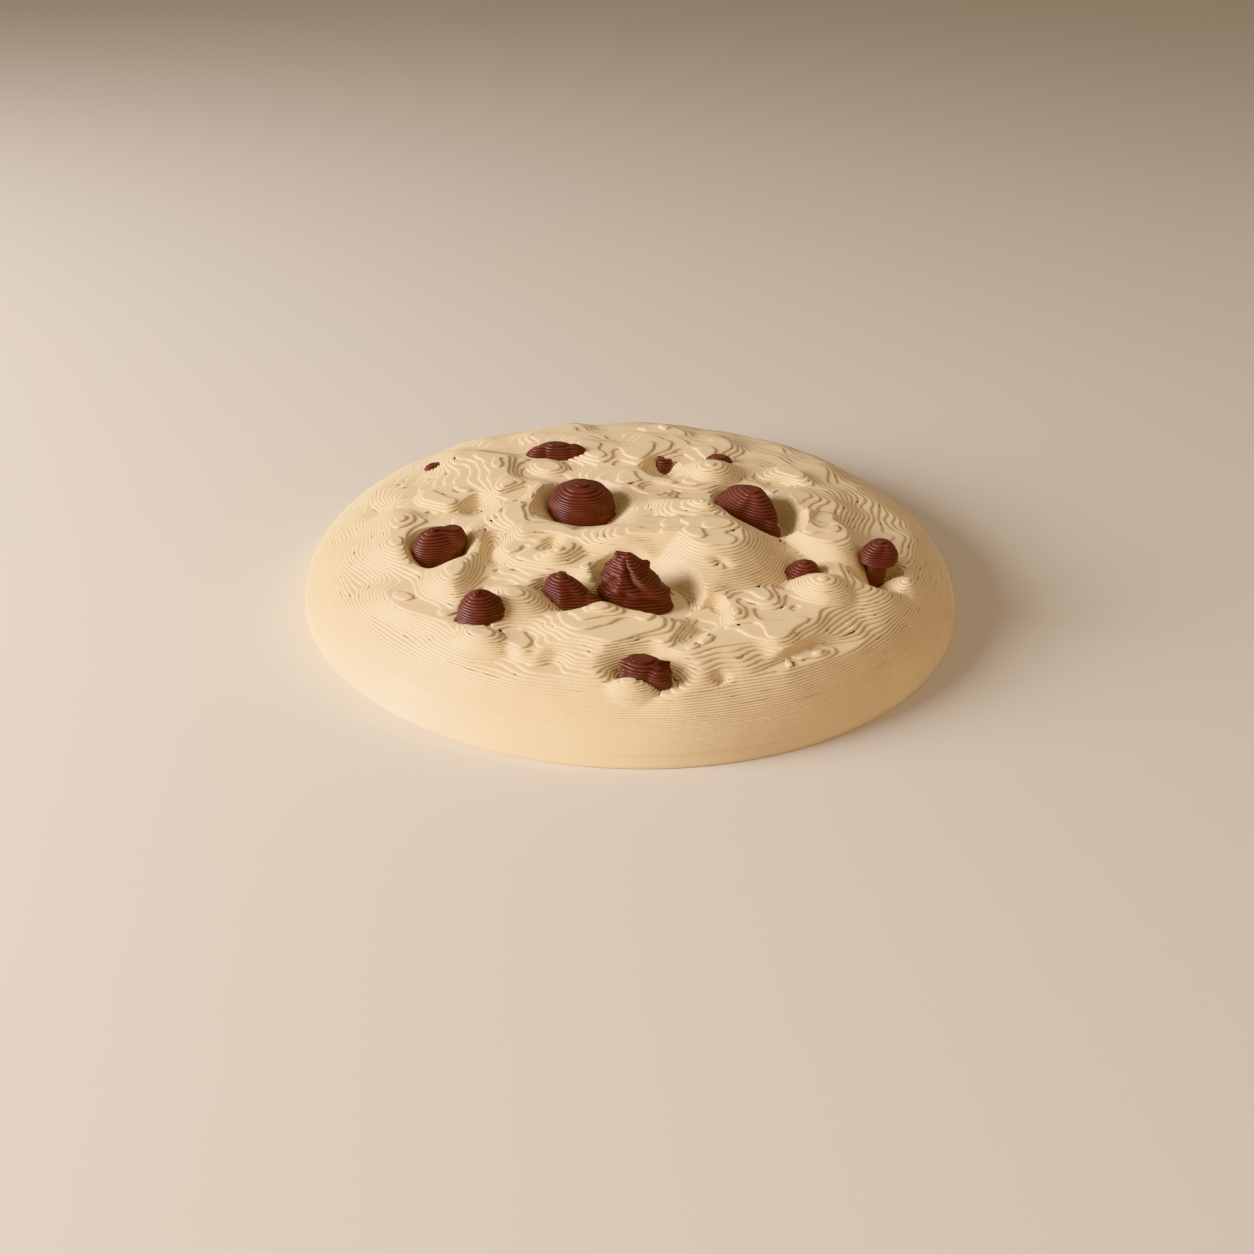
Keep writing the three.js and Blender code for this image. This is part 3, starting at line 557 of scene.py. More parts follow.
class LayeredTop:
    """Cuts a smooth top into level layers joined by rounded bead edges.

    Every edge of the starting triangles is cut where it crosses the middle height
    between two layers. The cut lines are widened into bead edges, and what lies between
    them is set to the level of its layer.
    """

    # Bead edge from the level below to the level above: share of the width, share of the
    # layer height. The second point is the bottom of the crease between two layers.
    BEAD = ((-0.14, 0.0), (0.1, -0.6), (0.0, 0.35), (0.22, 0.85), (1.0, 1.0))
    # Rows of the bead edge whose edges are shaded as sharp.
    CREASE_ROWS = (0, 1)
    # Most of the distance between two cut lines that a bead edge takes.
    MAX_WIDTH_SHARE = 0.64
    # A point up to this far from a cut line, in mm, makes room for its bead edge.
    OPENING_REACH = 0.8
    # Share of its width that a bead edge keeps where the ground turns round.
    NARROWEST = 0.25
    # Least rise next to a cut line, as a share of the layer height, that is reckoned with.
    LEAST_RISE_SHARE = 0.1
    # Steps in which a crossing is closed in on, and how near an end each may come.
    REFINE_STEPS = 3
    CUT_MARGIN = 0.05
    # Added to every height in mm, so that none lies exactly on a level.
    OFF_LEVEL = 1e-7

    def __init__(self, points, triangles, layer, width, lowest_layer):
        self.layer = layer
        self.width = width
        self.lowest = lowest_layer
        self.points = points
        self.triangles = triangles
        self.heights = surface_height(points[:, 0], points[:, 1]) + self.OFF_LEVEL
        self.bands = np.floor(self.heights / layer + 0.5).astype(int)
        self._cut_edges()
        self._place_vertices()
        self._make_faces()

    def _cut_edges(self):
        """Finds each crossing of an edge with a level, and numbers the crossings."""
        sides = [self.triangles[:, [0, 1]], self.triangles[:, [1, 2]], self.triangles[:, [2, 0]]]
        corner_pairs = np.sort(np.concatenate(sides), axis=1)
        edges, edge_of = np.unique(corner_pairs, axis=0, return_inverse=True)
        self.edge_of = edge_of.reshape(3, -1).T
        low_first = self.bands[edges[:, 0]] <= self.bands[edges[:, 1]]
        low = np.where(low_first, edges[:, 0], edges[:, 1])
        high = np.where(low_first, edges[:, 1], edges[:, 0])
        counts = self.bands[high] - self.bands[low]
        self.first_cut = np.concatenate([[0], np.cumsum(counts)])[:-1]
        self.edge_low_band = self.bands[low]
        owner = np.repeat(np.arange(len(edges)), counts)
        order = np.arange(counts.sum()) - np.repeat(self.first_cut, counts)
        self.cut_level = self.edge_low_band[owner] + order
        self.cut_points = self._crossings(low[owner], high[owner])

    def _crossings(self, low, high):
        """Points between two ends where the top is half way between two layers."""
        target = self._middle_height(self.cut_level)
        start, end = self.points[low], self.points[high]
        low_height, high_height = self.heights[low], self.heights[high]
        share_low, share_high = np.zeros(len(low)), np.ones(len(low))
        for _ in range(self.REFINE_STEPS):
            share = (target - low_height) / (high_height - low_height)
            share = np.clip(share, self.CUT_MARGIN, 1 - self.CUT_MARGIN)
            share = share_low + share * (share_high - share_low)
            points = start + share[:, None] * (end - start)
            height = surface_height(points[:, 0], points[:, 1])
            below = height < target
            share_low = np.where(below, share, share_low)
            low_height = np.where(below, height, low_height)
            share_high = np.where(below, share_high, share)
            high_height = np.where(below, high_height, height)
        return points

    def _middle_height(self, level):
        """Height half way between a layer and the next one up."""
        return (level + 0.5) * self.layer

    def _opening(self, slope):
        """Width of a bead edge where the top has a given slope."""
        return np.minimum(self.width, self.MAX_WIDTH_SHARE * self.layer / slope)

    def _narrowed(self, x, y, slope, up_x, up_y):
        """Width drawn in where the ground turns round within half of it, as in a crease."""
        level = self._middle_height(self.cut_level)
        width = self._opening(slope)
        reach = width / 2
        rise = surface_height(x + reach * up_x, y + reach * up_y) - level
        fall = level - surface_height(x - reach * up_x, y - reach * up_y)
        straight = np.minimum(rise, fall) / (slope * reach)
        steepest = np.maximum(np.maximum(rise, fall), self.LEAST_RISE_SHARE * self.layer)
        fits = 0.5 * self.layer / steepest
        return width * np.clip(np.minimum(straight, fits), self.NARROWEST, 1.0)

    def _place_vertices(self):
        """Puts the level points first, and then one row of points after another."""
        level_points = self._level_points()
        self.cut_start = len(level_points)
        self.cut_count = len(self.cut_points)
        self.vertices = np.concatenate([level_points] + self._bead_rows())

    def _level_points(self):
        """Starting points at the level of their layer, moved clear of the bead edges."""
        x, y = self.points.T
        slope, up_x, up_y = surface_slope(x, y)
        nearest = self._middle_height(np.floor(self.heights / self.layer))
        distance = (self.heights - nearest) / slope
        reach = np.minimum(0.5 * self.layer / slope, self.OPENING_REACH)
        shift = np.clip(1 - np.abs(distance) / reach, 0, 1) * self._opening(slope) / 2
        shift = shift * np.sign(distance)
        return np.column_stack([x + shift * up_x, y + shift * up_y, self.bands * self.layer])

    def _bead_rows(self):
        """Rows of points across every bead edge, shallower where the edge is narrow."""
        x, y = self.cut_points.T
        slope, up_x, up_y = surface_slope(x, y)
        width = self._narrowed(x, y, slope, up_x, up_y)
        depth_share = width / self.width
        rows = []
        for across, up in self.BEAD:
            offset = width * (across - 0.5)
            height = (self.cut_level + (up if up >= 0 else up * depth_share)) * self.layer
            rows.append(np.column_stack([x + offset * up_x, y + offset * up_y, height]))
        return rows

    def _row(self, cuts, row):
        """Vertices of some crossings in one row of the bead edge."""
        return self.cut_start + row * self.cut_count + cuts

    def _cut_on(self, edges, levels):
        """Crossings of some edges with a level each."""
        return self.first_cut[edges] + levels - self.edge_low_band[edges]

    def _edge_between(self, order, first, second):
        """Each triangle's edge between two of its corners, which are given by height."""
        pair = order[:, first] + order[:, second]
        position = np.where(pair == 1, 0, np.where(pair == 3, 1, 2))
        return self.edge_of[np.arange(len(order)), position]

    def _make_faces(self):
        """Cuts every starting triangle into a level piece per layer, and joins them."""
        order = np.argsort(self.heights[self.triangles], axis=1, kind="stable")
        low, mid, high = np.take_along_axis(self.triangles, order, axis=1).T
        counts = self.bands[high] - self.bands[low] + 1
        owner = np.repeat(np.arange(len(self.triangles)), counts)
        first = np.concatenate([[0], np.cumsum(counts)])[:-1]
        band = self.bands[low][owner] + np.arange(counts.sum()) - first[owner]
        as_given = ((order[:, 1] - order[:, 0]) % 3 != 1)[owner]

        long_side = self._edge_between(order, 0, 2)[owner]
        lower_side = self._edge_between(order, 0, 1)[owner]
        upper_side = self._edge_between(order, 1, 2)[owner]
        low, mid, high = low[owner], mid[owner], high[owner]

        def crossings(level):
            """Where a level crosses the long side and one of the two short sides."""
            short_side = np.where(level < self.bands[mid], lower_side, upper_side)
            return self._cut_on(long_side, level), self._cut_on(short_side, level)

        corners = low, mid, high
        above = crossings(band)
        self.faces = np.concatenate(
            self._level_faces(band, corners, crossings(band - 1), above, as_given)
            + self._bead_faces(band, high, above, as_given)
        )

    def _level_faces(self, band, corners, below, above, as_given):
        """Level piece between two cut lines, as up to three triangles."""
        low, mid, high = corners
        top_row = len(self.BEAD) - 1
        is_first, is_last = band == self.bands[low], band == self.bands[high]
        below_long, below_short = (np.where(is_first, low, self._row(cut, top_row)) for cut in below)
        above_long, above_short = (np.where(is_last, high, self._row(cut, 0)) for cut in above)
        side = np.where(band == self.bands[mid], mid, below_short)
        fans = (
            (below_long, above_long, above_short),
            (below_long, above_short, side),
            (below_long, side, below_short),
        )
        kept = band >= self.lowest
        return [real_triangles(a[kept], b[kept], c[kept], as_given[kept]) for a, b, c in fans]

    def _bead_faces(self, band, high, above, as_given):
        """Bead edge along the upper cut line of every level piece but the highest."""
        steps = (band != self.bands[high]) & (band + 1 >= self.lowest)
        cut_long, cut_short = above[0][steps], above[1][steps]
        faces = []
        for row in range(len(self.BEAD) - 1):
            long_foot, long_top = self._row(cut_long, row), self._row(cut_long, row + 1)
            short_foot, short_top = self._row(cut_short, row), self._row(cut_short, row + 1)
            faces.append(real_triangles(long_foot, long_top, short_top, as_given[steps]))
            faces.append(real_triangles(long_foot, short_top, short_foot, as_given[steps]))
        return faces

    def border(self):
        """Foot vertices of the lowest step kept, in order round the body."""
        cuts = np.flatnonzero(self.cut_level == self.lowest - 1)
        foot = self._row(cuts, 0)
        angle = np.arctan2(self.vertices[foot, 1], self.vertices[foot, 0])
        return foot[np.argsort(angle)]

    def crease_tags(self, count):
        """Tag of each of the body's vertices: one number per crease row and level."""
        tags = np.full(count, NO_TAG)
        for row in self.CREASE_ROWS:
            start = self._row(0, row)
            tags[start : start + self.cut_count] = self.cut_level + row * CREASE_TAG_STEP
        return tags


def ring_faces(inner, outer):
    """Triangles between two closed rings with the same number of vertices."""
    inner_next, outer_next = np.roll(inner, -1), np.roll(outer, -1)
    first = np.column_stack([inner, outer, outer_next])
    second = np.column_stack([inner, outer_next, inner_next])
    return np.concatenate([first, second])


def join_rings(inner, outer):
    """Triangles between two closed rings that start at the same angle."""
    faces = []
    i = j = 0
    while i < len(inner) or j < len(outer):
        step_inner = j >= len(outer) or (
            i < len(inner) and (i + 1) / len(inner) <= (j + 1) / len(outer)
        )
        here, there = inner[i % len(inner)], outer[j % len(outer)]
        if step_inner:
            i += 1
            faces.append((here, there, inner[i % len(inner)]))
        else:
            j += 1
            faces.append((here, there, outer[j % len(outer)]))
    return np.array(faces)


def fan_faces(ring, middle):
    """Triangles from each side of a closed ring to one vertex."""
    return np.column_stack([np.full(len(ring), middle), ring, np.roll(ring, -1)])


def wall_rows(layer, width, lowest):
    """Rings of the wall from its top: radius, height, share of the lowest step's bulges.

    The lowest step has its own bead edge, so the wall starts with the layer below it.
    """
    rows = []
    for k in range(lowest - 2, 0, -1):
        middle = rim_radius((k + 0.5) * layer)
        spread = rim_radius(k * layer) - rim_radius((k + 1) * layer)
        opening = min(width, max(WALL_GROOVE, LayeredTop.MAX_WIDTH_SHARE * spread))
        for across, up in reversed(LayeredTop.BEAD):
            radius = middle + (0.5 - across) * opening
            rows.append((radius, (k + up) * layer, (k + 0.5) / (lowest - 0.5)))
    for out, up in FIRST_LAYER_EDGE:
        rows.append((rim_radius(0.5 * layer) + out, up * layer, 0.0))
    return rows


def body_mesh_data(layer, width, spacing, wall_top):
    """Vertices in millimetres, faces and crease tags of the whole body."""
    lowest = int(round(wall_top / layer))
    mesh_radius = rim_radius((lowest - DISC_OVERLAP) * layer)
    top = LayeredTop(*disc_rings(mesh_radius, spacing), layer, width, lowest)
    ring = top.border()
    edge = top.vertices[ring]
    edge_angle = np.arctan2(edge[:, 1], edge[:, 0])
    edge_excess = np.hypot(edge[:, 0], edge[:, 1]) - rim_radius((lowest - 0.5) * layer)
    angle = edge_angle[0] + np.arange(WALL_SEGMENTS) * (2 * math.pi / WALL_SEGMENTS)
    wrapped = (angle + math.pi) % (2 * math.pi) - math.pi
    excess = np.interp(wrapped, edge_angle, edge_excess, period=2 * math.pi)

    vertices, faces = [top.vertices], [top.faces]
    count = len(top.vertices)
    for plain_radius, height, share in wall_rows(layer, width, lowest):
        # The bulges of the lowest step run on down the wall, less and less.
        radius = plain_radius + share**2 * excess
        x, y = radius * np.cos(angle), radius * np.sin(angle)
        vertices.append(np.column_stack([x, y, np.full(WALL_SEGMENTS, height)]))
        lower = np.arange(count, count + WALL_SEGMENTS)
        join = ring_faces if len(ring) == len(lower) else join_rings
        faces.append(join(ring, lower)[:, ::-1])
        count += WALL_SEGMENTS
        ring = lower
    vertices.append(np.zeros((1, 3)))
    faces.append(fan_faces(ring, count)[:, ::-1])
    return np.concatenate(vertices), np.concatenate(faces), top.crease_tags(count + 1)


def flank_share(chip, t, angles):
    """Share of the foot's half lengths at a height share of the shaped part."""
    stem = chip.get("stem")
    if stem and t < chip["stem_share"]:
        return stem
    start = chip["stem_share"] if stem else 0.0
    rise = max(0.0, (t - start) / (1 - start))
    right, back, left, front = chip["sides"]
    along, across = np.cos(angles), np.sin(angles)
    side = np.where(along > 0, right, left) * along**2
    side = side + np.where(across > 0, back, front) * across**2
    return max(0.0, 1 - rise ** chip["crown"]) ** (1 / side)


def bulge_share(height, low, high, fullness):
    """Share of a lobe's half lengths at a height, rounded above and, off the ground, below."""
    if low > 0:
        t = abs(2 * height - low - high) / (high - low)
    else:
        t = max(height / high, 0.0)
    return max(0.0, 1 - t * t) ** (1 / fullness)


def ray_hits(start_x, start_y, angles, a, b, turn):
    """Nearest and farthest distance at which rays from a start cross an oval round 0, 0."""
    along, across = along_and_across(start_x, start_y, turn)
    along, across = along / a, across / b
    off_axis = angles - math.radians(turn)
    step_along, step_across = np.cos(off_axis) / a, np.sin(off_axis) / b
    square = step_along**2 + step_across**2
    half = along * step_along + across * step_across
    root = half**2 - square * (along**2 + across**2 - 1)
    hit = root > 0
    root = np.sqrt(np.maximum(root, 0))
    return np.where(hit, (-half - root) / square, 0), np.where(hit, (-half + root) / square, 0)


def add_lobes(radii, chip, over_foot, middle, angles):
    """Radii swelled out by the chip's lobes."""
    for x, y, a, b, turn, low, high, fullness in chip.get("lobes", ()):
        share = bulge_share(over_foot, low, high, fullness)
        if share > LEAST_LOBE_SHARE:
            start_x, start_y = middle[0] - x, middle[1] - y
            _, far = ray_hits(start_x, start_y, angles, a * share, b * share, turn)
            far = np.maximum(far, 0)
            radii = (radii**LOBE_BLEND_POWER + far**LOBE_BLEND_POWER) ** (1 / LOBE_BLEND_POWER)
    return radii


def cut_notches(radii, chip, over_foot, middle, angles):
    """Radii cut back where a notch opens through the chip's side."""
    for x, y, a, b, turn, low, high in chip.get("notches", ()):
        t = abs(2 * over_foot - low - high) / (high - low)
        if t < 1:
            share = math.sqrt(1 - t**2)
            start_x, start_y = middle[0] - x, middle[1] - y
            near, far = ray_hits(start_x, start_y, angles, a * share, b * share, turn)
            opens = (near > 0) & (far > NOTCH_REACH_SHARE * radii)
            radii = np.where(opens, np.minimum(radii, near), radii)
    return radii


def press_grooves_and_folds(radii, chip, over_foot, angles):
    """Radii drawn in by grooves that wind round the chip and folds that run up it."""
    degrees = np.degrees(angles) % 360
    for at_right, rise, depth, width, first, last in chip.get("grooves", ()):
        groove_height = at_right + rise * np.abs(degrees - GROOVE_START) / 360
        ends = smooth_step((degrees - first) / GROOVE_END_LENGTH)
        ends = ends * smooth_step((last - degrees) / GROOVE_END_LENGTH)
        radii = radii - depth * ends * np.exp(-(((over_foot - groove_height) / width) ** 2))
    for angle, drift, spread, low, high, depth in chip.get("folds", ()):
        off_angle = (degrees - angle - drift * (over_foot - low) + 180) % 360 - 180
        ends = max(0.0, 1 - ((2 * over_foot - low - high) / (high - low)) ** 2)
        radii = radii - depth * ends * np.exp(-((off_angle / spread) ** 2))
    return radii


def roughen(radii, chip, height, angles, seed):
    """Radii with the lumps of the chip's skin and the in and out of its layers."""
    place = CHIP_LUMP_COUNT * np.cos(angles) + seed
    rise = CHIP_LUMP_COUNT * np.sin(angles) + CHIP_LUMP_RISE * height
    lumps = noise(place, rise, seed)
    radii = radii * (1 + 2 * chip.get("rough", CHIP_ROUGHNESS) * lumps)
    layer_place = np.full(len(angles), seed + 0.5)
    layer_rise = np.full(len(angles), JAG_RISE * height)
    wobble = noise(layer_place, layer_rise, seed + 1)
    return radii + chip.get("jag", CHIP_JAG) * 2 * wobble * np.maximum(np.cos(angles), 0) ** 2


def chip_outline(chip, height, angles, seed):
    """Middle and radii of a chip's outline at a height over the table."""
    over_foot = height - chip["foot"]
    t = min(max(0.0, over_foot / (chip["top"] - chip["foot"])), CROWN_END)
    middle = [lean * t for lean in chip["lean"]]
    own = angles - math.radians(chip["turn"])
    inverse_radii = np.hypot(np.cos(own) / chip["a"], np.sin(own) / chip["b"])
    radii = flank_share(chip, t, own) / inverse_radii
    radii = add_lobes(radii, chip, over_foot, middle, angles)
    radii = cut_notches(radii, chip, over_foot, middle, angles)
    radii = press_grooves_and_folds(radii, chip, over_foot, angles)
    radii = roughen(radii, chip, height, angles, seed)
    return chip["x"] + middle[0], chip["y"] + middle[1], np.maximum(radii, LEAST_OUTLINE)


def chip_layers(chip, layer, angles, seed):
    """Numbers of a chip's layers, from just under the body's top to the chip's own top."""
    middle_x, middle_y, radii = chip_outline(chip, chip["foot"], angles, seed)
    edge_x, edge_y = middle_x + radii * np.cos(angles), middle_y + radii * np.sin(angles)
    ground = surface_height(edge_x, edge_y).min()
    first = int(math.floor((min(ground, chip["foot"]) - CHIP_ROOT) / layer))
    lobe_tops = [chip["foot"] + high for *_, high, _ in chip.get("lobes", ())]
    highest = max([chip["top"]] + lobe_tops)
    return range(first, int(round(highest / layer)))


def chip_mesh_data(chip, layer, point_spacing, seed):
    """Vertices, faces and crease tags of one chip, printed in whole layers."""
    segments = int(2 * math.pi * max(chip["a"], chip["b"]) / point_spacing)
    angles = np.arange(segments) * (2 * math.pi / segments)
    bottom = np.arange(segments)
    vertices, faces, tags = [], [], []
    for k in chip_layers(chip, layer, angles, seed):
        middle_x, middle_y, radii = chip_outline(chip, (k + 0.5) * layer, angles, seed)
        for up, inset in CHIP_BEAD:
            ring = bottom + segments * len(vertices)
            if vertices:
                faces.append(ring_faces(ring, ring - segments)[:, ::-1])
            drawn = np.maximum(radii - inset, LEAST_RING)
            x, y = middle_x + drawn * np.cos(angles), middle_y + drawn * np.sin(angles)
            vertices.append(np.column_stack([x, y, np.full(segments, (k + up) * layer)]))
            tags.append(np.full(segments, k if up == 0.0 else NO_TAG))
    count = segments * len(vertices)
    vertices += [vertices[0].mean(axis=0)[None], vertices[-1].mean(axis=0)[None]]
    tags.append(np.array([NO_TAG, NO_TAG]))
    faces += [fan_faces(bottom, count)[:, ::-1], fan_faces(ring, count + 1)]
    return np.concatenate(vertices), np.concatenate(faces), np.concatenate(tags)


def mark_sharp(mesh, tag):
    """Marks the edges whose two ends have the same tag, where there is one."""
    ends = np.zeros(len(mesh.edges) * 2, int)
    mesh.edges.foreach_get("vertices", ends)
    ends = ends.reshape(-1, 2)
    sharp = (tag[ends[:, 0]] != NO_TAG) & (tag[ends[:, 0]] == tag[ends[:, 1]])
    attribute = mesh.attributes.new("sharp_edge", "BOOLEAN", "EDGE")
    attribute.data.foreach_set("value", sharp)


def make_piece(name, vertices, faces, tags, material):
    """Smooth-shaded object from vertices in millimetres, with sharp creases."""
    if not np.isfinite(vertices).all():
        raise RuntimeError(name + " has a vertex that isn't a number")
    used, compact = np.unique(faces, return_inverse=True)
    mesh = bpy.data.meshes.new(name)
    mesh.from_pydata((vertices[used] * MM).tolist(), [], compact.reshape(faces.shape).tolist())
    mesh.validate()
    mesh.update()
    for polygon in mesh.polygons:
        polygon.use_smooth = True
    mark_sharp(mesh, tags[used])
    mesh.materials.append(material)
    piece = bpy.data.objects.new(name, mesh)
    bpy.context.scene.collection.objects.link(piece)
    return piece


def linear(hex_colour):
    """Linear colour with alpha from an sRGB hex string."""
    parts = [int(hex_colour[i : i + 2], 16) / 255 for i in (1, 3, 5)]
    return [p / 12.92 if p <= 0.04045 else ((p + 0.055) / 1.055) ** 2.4 for p in parts] + [1.0]


def add_node(tree, kind, settings=None, links=None):
    """Adds a node, sets its properties and sockets, and links its inputs.

    A name in settings is a property of the node if it has one of that name, and
    otherwise an input socket.
    """
    node = tree.nodes.new(kind)
    for name, value in (settings or {}).items():
        if isinstance(name, str) and hasattr(node, name):
            setattr(node, name, value)
        else:
            node.inputs[name].default_value = value
    for name, source in (links or {}).items():
        tree.links.new(source, node.inputs[name])
    return node


def new_material(name):
    """Empty material with its node tree and the coordinates of the object it is on."""
    material = bpy.data.materials.new(name)
    material.use_nodes = True
    tree = material.node_tree
    tree.nodes.clear()
    coords = add_node(tree, "ShaderNodeTexCoord")
    return material, tree, {"Vector": coords.outputs["Object"]}


def noise_scale(size):
    """Scale of a noise texture in metres whose spots are some millimetres across."""
    return 1 / (size * MM)


def printed_plastic(name, deep_colour, pale_colour, patch_size, roughness, grain_strength):
    """PLA laid down as melted filament: clouded colour, satin skin and a fine grain."""
    material, tree, place = new_material(name)
    cloud = add_node(tree, "ShaderNodeTexNoise", {"Scale": noise_scale(patch_size), "Detail": 3.0}, place)
    tint = add_node(tree, "ShaderNodeValToRGB", None, {"Fac": cloud.outputs["Fac"]})
    stops = (PATCH_START, deep_colour), (PATCH_END, pale_colour)
    for k, (position, colour) in enumerate(stops):
        tint.color_ramp.elements[k].position = position
        tint.color_ramp.elements[k].color = colour
    grain = add_node(tree, "ShaderNodeTexNoise", {"Scale": noise_scale(GRAIN_SIZE), "Detail": 2.0}, place)
    bump = add_node(
        tree,
        "ShaderNodeBump",
        {"Strength": grain_strength, "Distance": GRAIN_DEPTH * MM},
        {"Height": grain.outputs["Fac"]},
    )
    shader = add_node(
        tree,
        "ShaderNodeBsdfPrincipled",
        {"Roughness": roughness, "IOR": PLA_IOR},
        {"Base Color": tint.outputs["Color"], "Normal": bump.outputs["Normal"]},
    )
    add_node(tree, "ShaderNodeOutputMaterial", None, {"Surface": shader.outputs["BSDF"]})
    return material


def dough_material(deep_colour, pale_colour):
    """Cream PLA, printed by melted filament.

    The warm cream runs in soft patches a centimetre across, and the satin skin takes the
    light as a broad pale sheen along the beads, without hard glints.
    """
    return printed_plastic(
        "cream_pla_printed", deep_colour, pale_colour,
        patch_size=DOUGH_PATCH, roughness=0.42, grain_strength=0.25,
    )


def chip_material(deep_colour, pale_colour):
    """Dark brown PLA, printed by melted filament.

    The reddish brown is a little paler in small patches, and each bead carries a thin
    dull highlight on its lit side.
    """
    return printed_plastic(
        "brown_pla_printed", deep_colour, pale_colour,
        patch_size=CHIP_PATCH, roughness=0.46, grain_strength=0.3,
    )


def floor_material(colour):
    """Pale sheet with a matte rolled surface, so that it takes shadows without a shine."""
    material, tree, place = new_material("pale_matte_floor")
    grain = add_node(tree, "ShaderNodeTexNoise", {"Scale": noise_scale(FLOOR_GRAIN), "Detail": 3.0}, place)
    bump = add_node(
        tree,
        "ShaderNodeBump",
        {"Strength": 0.1, "Distance": FLOOR_GRAIN_DEPTH * MM},
        {"Height": grain.outputs["Fac"]},
    )
    shader = add_node(
        tree,
        "ShaderNodeBsdfPrincipled",
        {"Base Color": colour, "Roughness": 0.8},
        {"Normal": bump.outputs["Normal"]},
    )
    add_node(tree, "ShaderNodeOutputMaterial", None, {"Surface": shader.outputs["BSDF"]})
    return material


class CookieBodySettings(bpy.types.PropertyGroup):
    """Sizes of the body's printed layers, and the colours of its plastic."""

    layer: bpy.props.FloatProperty(
        name="Layer height", description="Thickness of one printed layer",
        default=0.2 * MM, min=0.05 * MM, unit="LENGTH", precision=5,
    )
    width: bpy.props.FloatProperty(
        name="Bead edge width", description="Width of the rounded edge of a layer on level ground",
        default=0.34 * MM, unit="LENGTH", precision=5,
    )
    spacing: bpy.props.FloatProperty(
        name="Mesh spacing", description="Distance between the rings that the layers are cut from",
        default=0.85 * MM, unit="LENGTH", precision=5,
    )
    wall_top: bpy.props.FloatProperty(
        name="Wall height", description="Height below which the layers are plain rings",
        default=4.8 * MM, unit="LENGTH", precision=5,
    )
    deep_colour: bpy.props.FloatVectorProperty(
        name="Deep colour", description="Darker cream in the clouds of the plastic",
        default=linear("#eacfa8"), size=4, min=0.0, max=1.0, subtype="COLOR",
    )
    pale_colour: bpy.props.FloatVectorProperty(
        name="Pale colour", description="Lighter cream in the clouds of the plastic",
        default=linear("#f3dab2"), size=4, min=0.0, max=1.0, subtype="COLOR",
    )


class CookieChipSettings(bpy.types.PropertyGroup):
    """Sizes of the chips' printed layers, and the colours of their plastic."""

    layer: bpy.props.FloatProperty(
        name="Layer height", description="Thickness of one printed layer",
        default=0.3 * MM, min=0.05 * MM, unit="LENGTH", precision=5,
    )
    point_spacing: bpy.props.FloatProperty(
        name="Point spacing", description="Distance between the points round a chip",
        default=0.3 * MM, min=0.05 * MM, unit="LENGTH", precision=5,
    )
    deep_colour: bpy.props.FloatVectorProperty(
        name="Deep colour", description="Darker brown in the clouds of the plastic",
        default=linear("#663930"), size=4, min=0.0, max=1.0, subtype="COLOR",
    )
    pale_colour: bpy.props.FloatVectorProperty(
        name="Pale colour", description="Lighter brown in the clouds of the plastic",
        default=linear("#7a4538"), size=4, min=0.0, max=1.0, subtype="COLOR",
    )


class CookieStageSettings(bpy.types.PropertyGroup):
    """Camera, lights and floor."""

    camera_place: bpy.props.FloatVectorProperty(
        name="Camera place", description="Where the camera stands",
        default=(-0.344 * MM, -165.78 * MM, 90.35 * MM), size=3, unit="LENGTH",
    )
    camera_tilt: bpy.props.FloatProperty(
        name="Camera tilt", description="Angle by which the camera looks down",
        default=math.atan(HORIZON_PIXELS / FOCAL_PIXELS), subtype="ANGLE",
    )
    camera_roll: bpy.props.FloatProperty(
        name="Camera roll", description="Angle by which the picture leans clockwise",
        default=0.026, subtype="ANGLE",
    )
    lens: bpy.props.FloatProperty(
        name="Lens", description="Focal length in millimetres for the sensor width",
        default=SENSOR_WIDTH * FOCAL_PIXELS / PHOTO_PIXELS,
    )
    key_power: bpy.props.FloatProperty(
        name="Key light", description="Power of the large light at the left",
        default=8.4, subtype="POWER",
    )
    fill_power: bpy.props.FloatProperty(
        name="Fill light", description="Power of the weak light at the right",
        default=1.0, subtype="POWER",
    )
    world_strength: bpy.props.FloatProperty(
        name="Studio light", description="Strength of the even light from all round",
        default=0.36,
    )
    floor_size: bpy.props.FloatProperty(
        name="Floor size", description="Width of the floor",
        default=6.0, unit="LENGTH",
    )
    floor_colour: bpy.props.FloatVectorProperty(
        name="Floor colour", description="Colour of the floor",
        default=linear("#e0d4c4"), size=4, min=0.0, max=1.0, subtype="COLOR",
    )


class COOKIE_OT_body(bpy.types.Operator):
    """Build the layered cream body"""

    bl_idname = "cookie.body"
    bl_label = "Body"

    def execute(self, context):
        settings = context.scene.cookie_body
        sizes = [settings.layer / MM, settings.width / MM, settings.spacing / MM, settings.wall_top / MM]
        material = dough_material(settings.deep_colour, settings.pale_colour)
        piece = make_piece("body_dressed", *body_mesh_data(*sizes), material)
        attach(piece, "root")
        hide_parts("cookie_body")
        return {"FINISHED"}


class COOKIE_OT_chips(bpy.types.Operator):
    """Build the layered brown chips"""

    bl_idname = "cookie.chips"
    bl_label = "Chips"

    def execute(self, context):
        settings = context.scene.cookie_chips
        sizes = [settings.layer / MM, settings.point_spacing / MM]
        material = chip_material(settings.deep_colour, settings.pale_colour)
        for seed, (node, chip) in enumerate(CHIPS.items()):
            piece = make_piece(node + "_dressed", *chip_mesh_data(chip, *sizes, seed), material)
            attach(piece, "root")
            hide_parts(node)
        return {"FINISHED"}


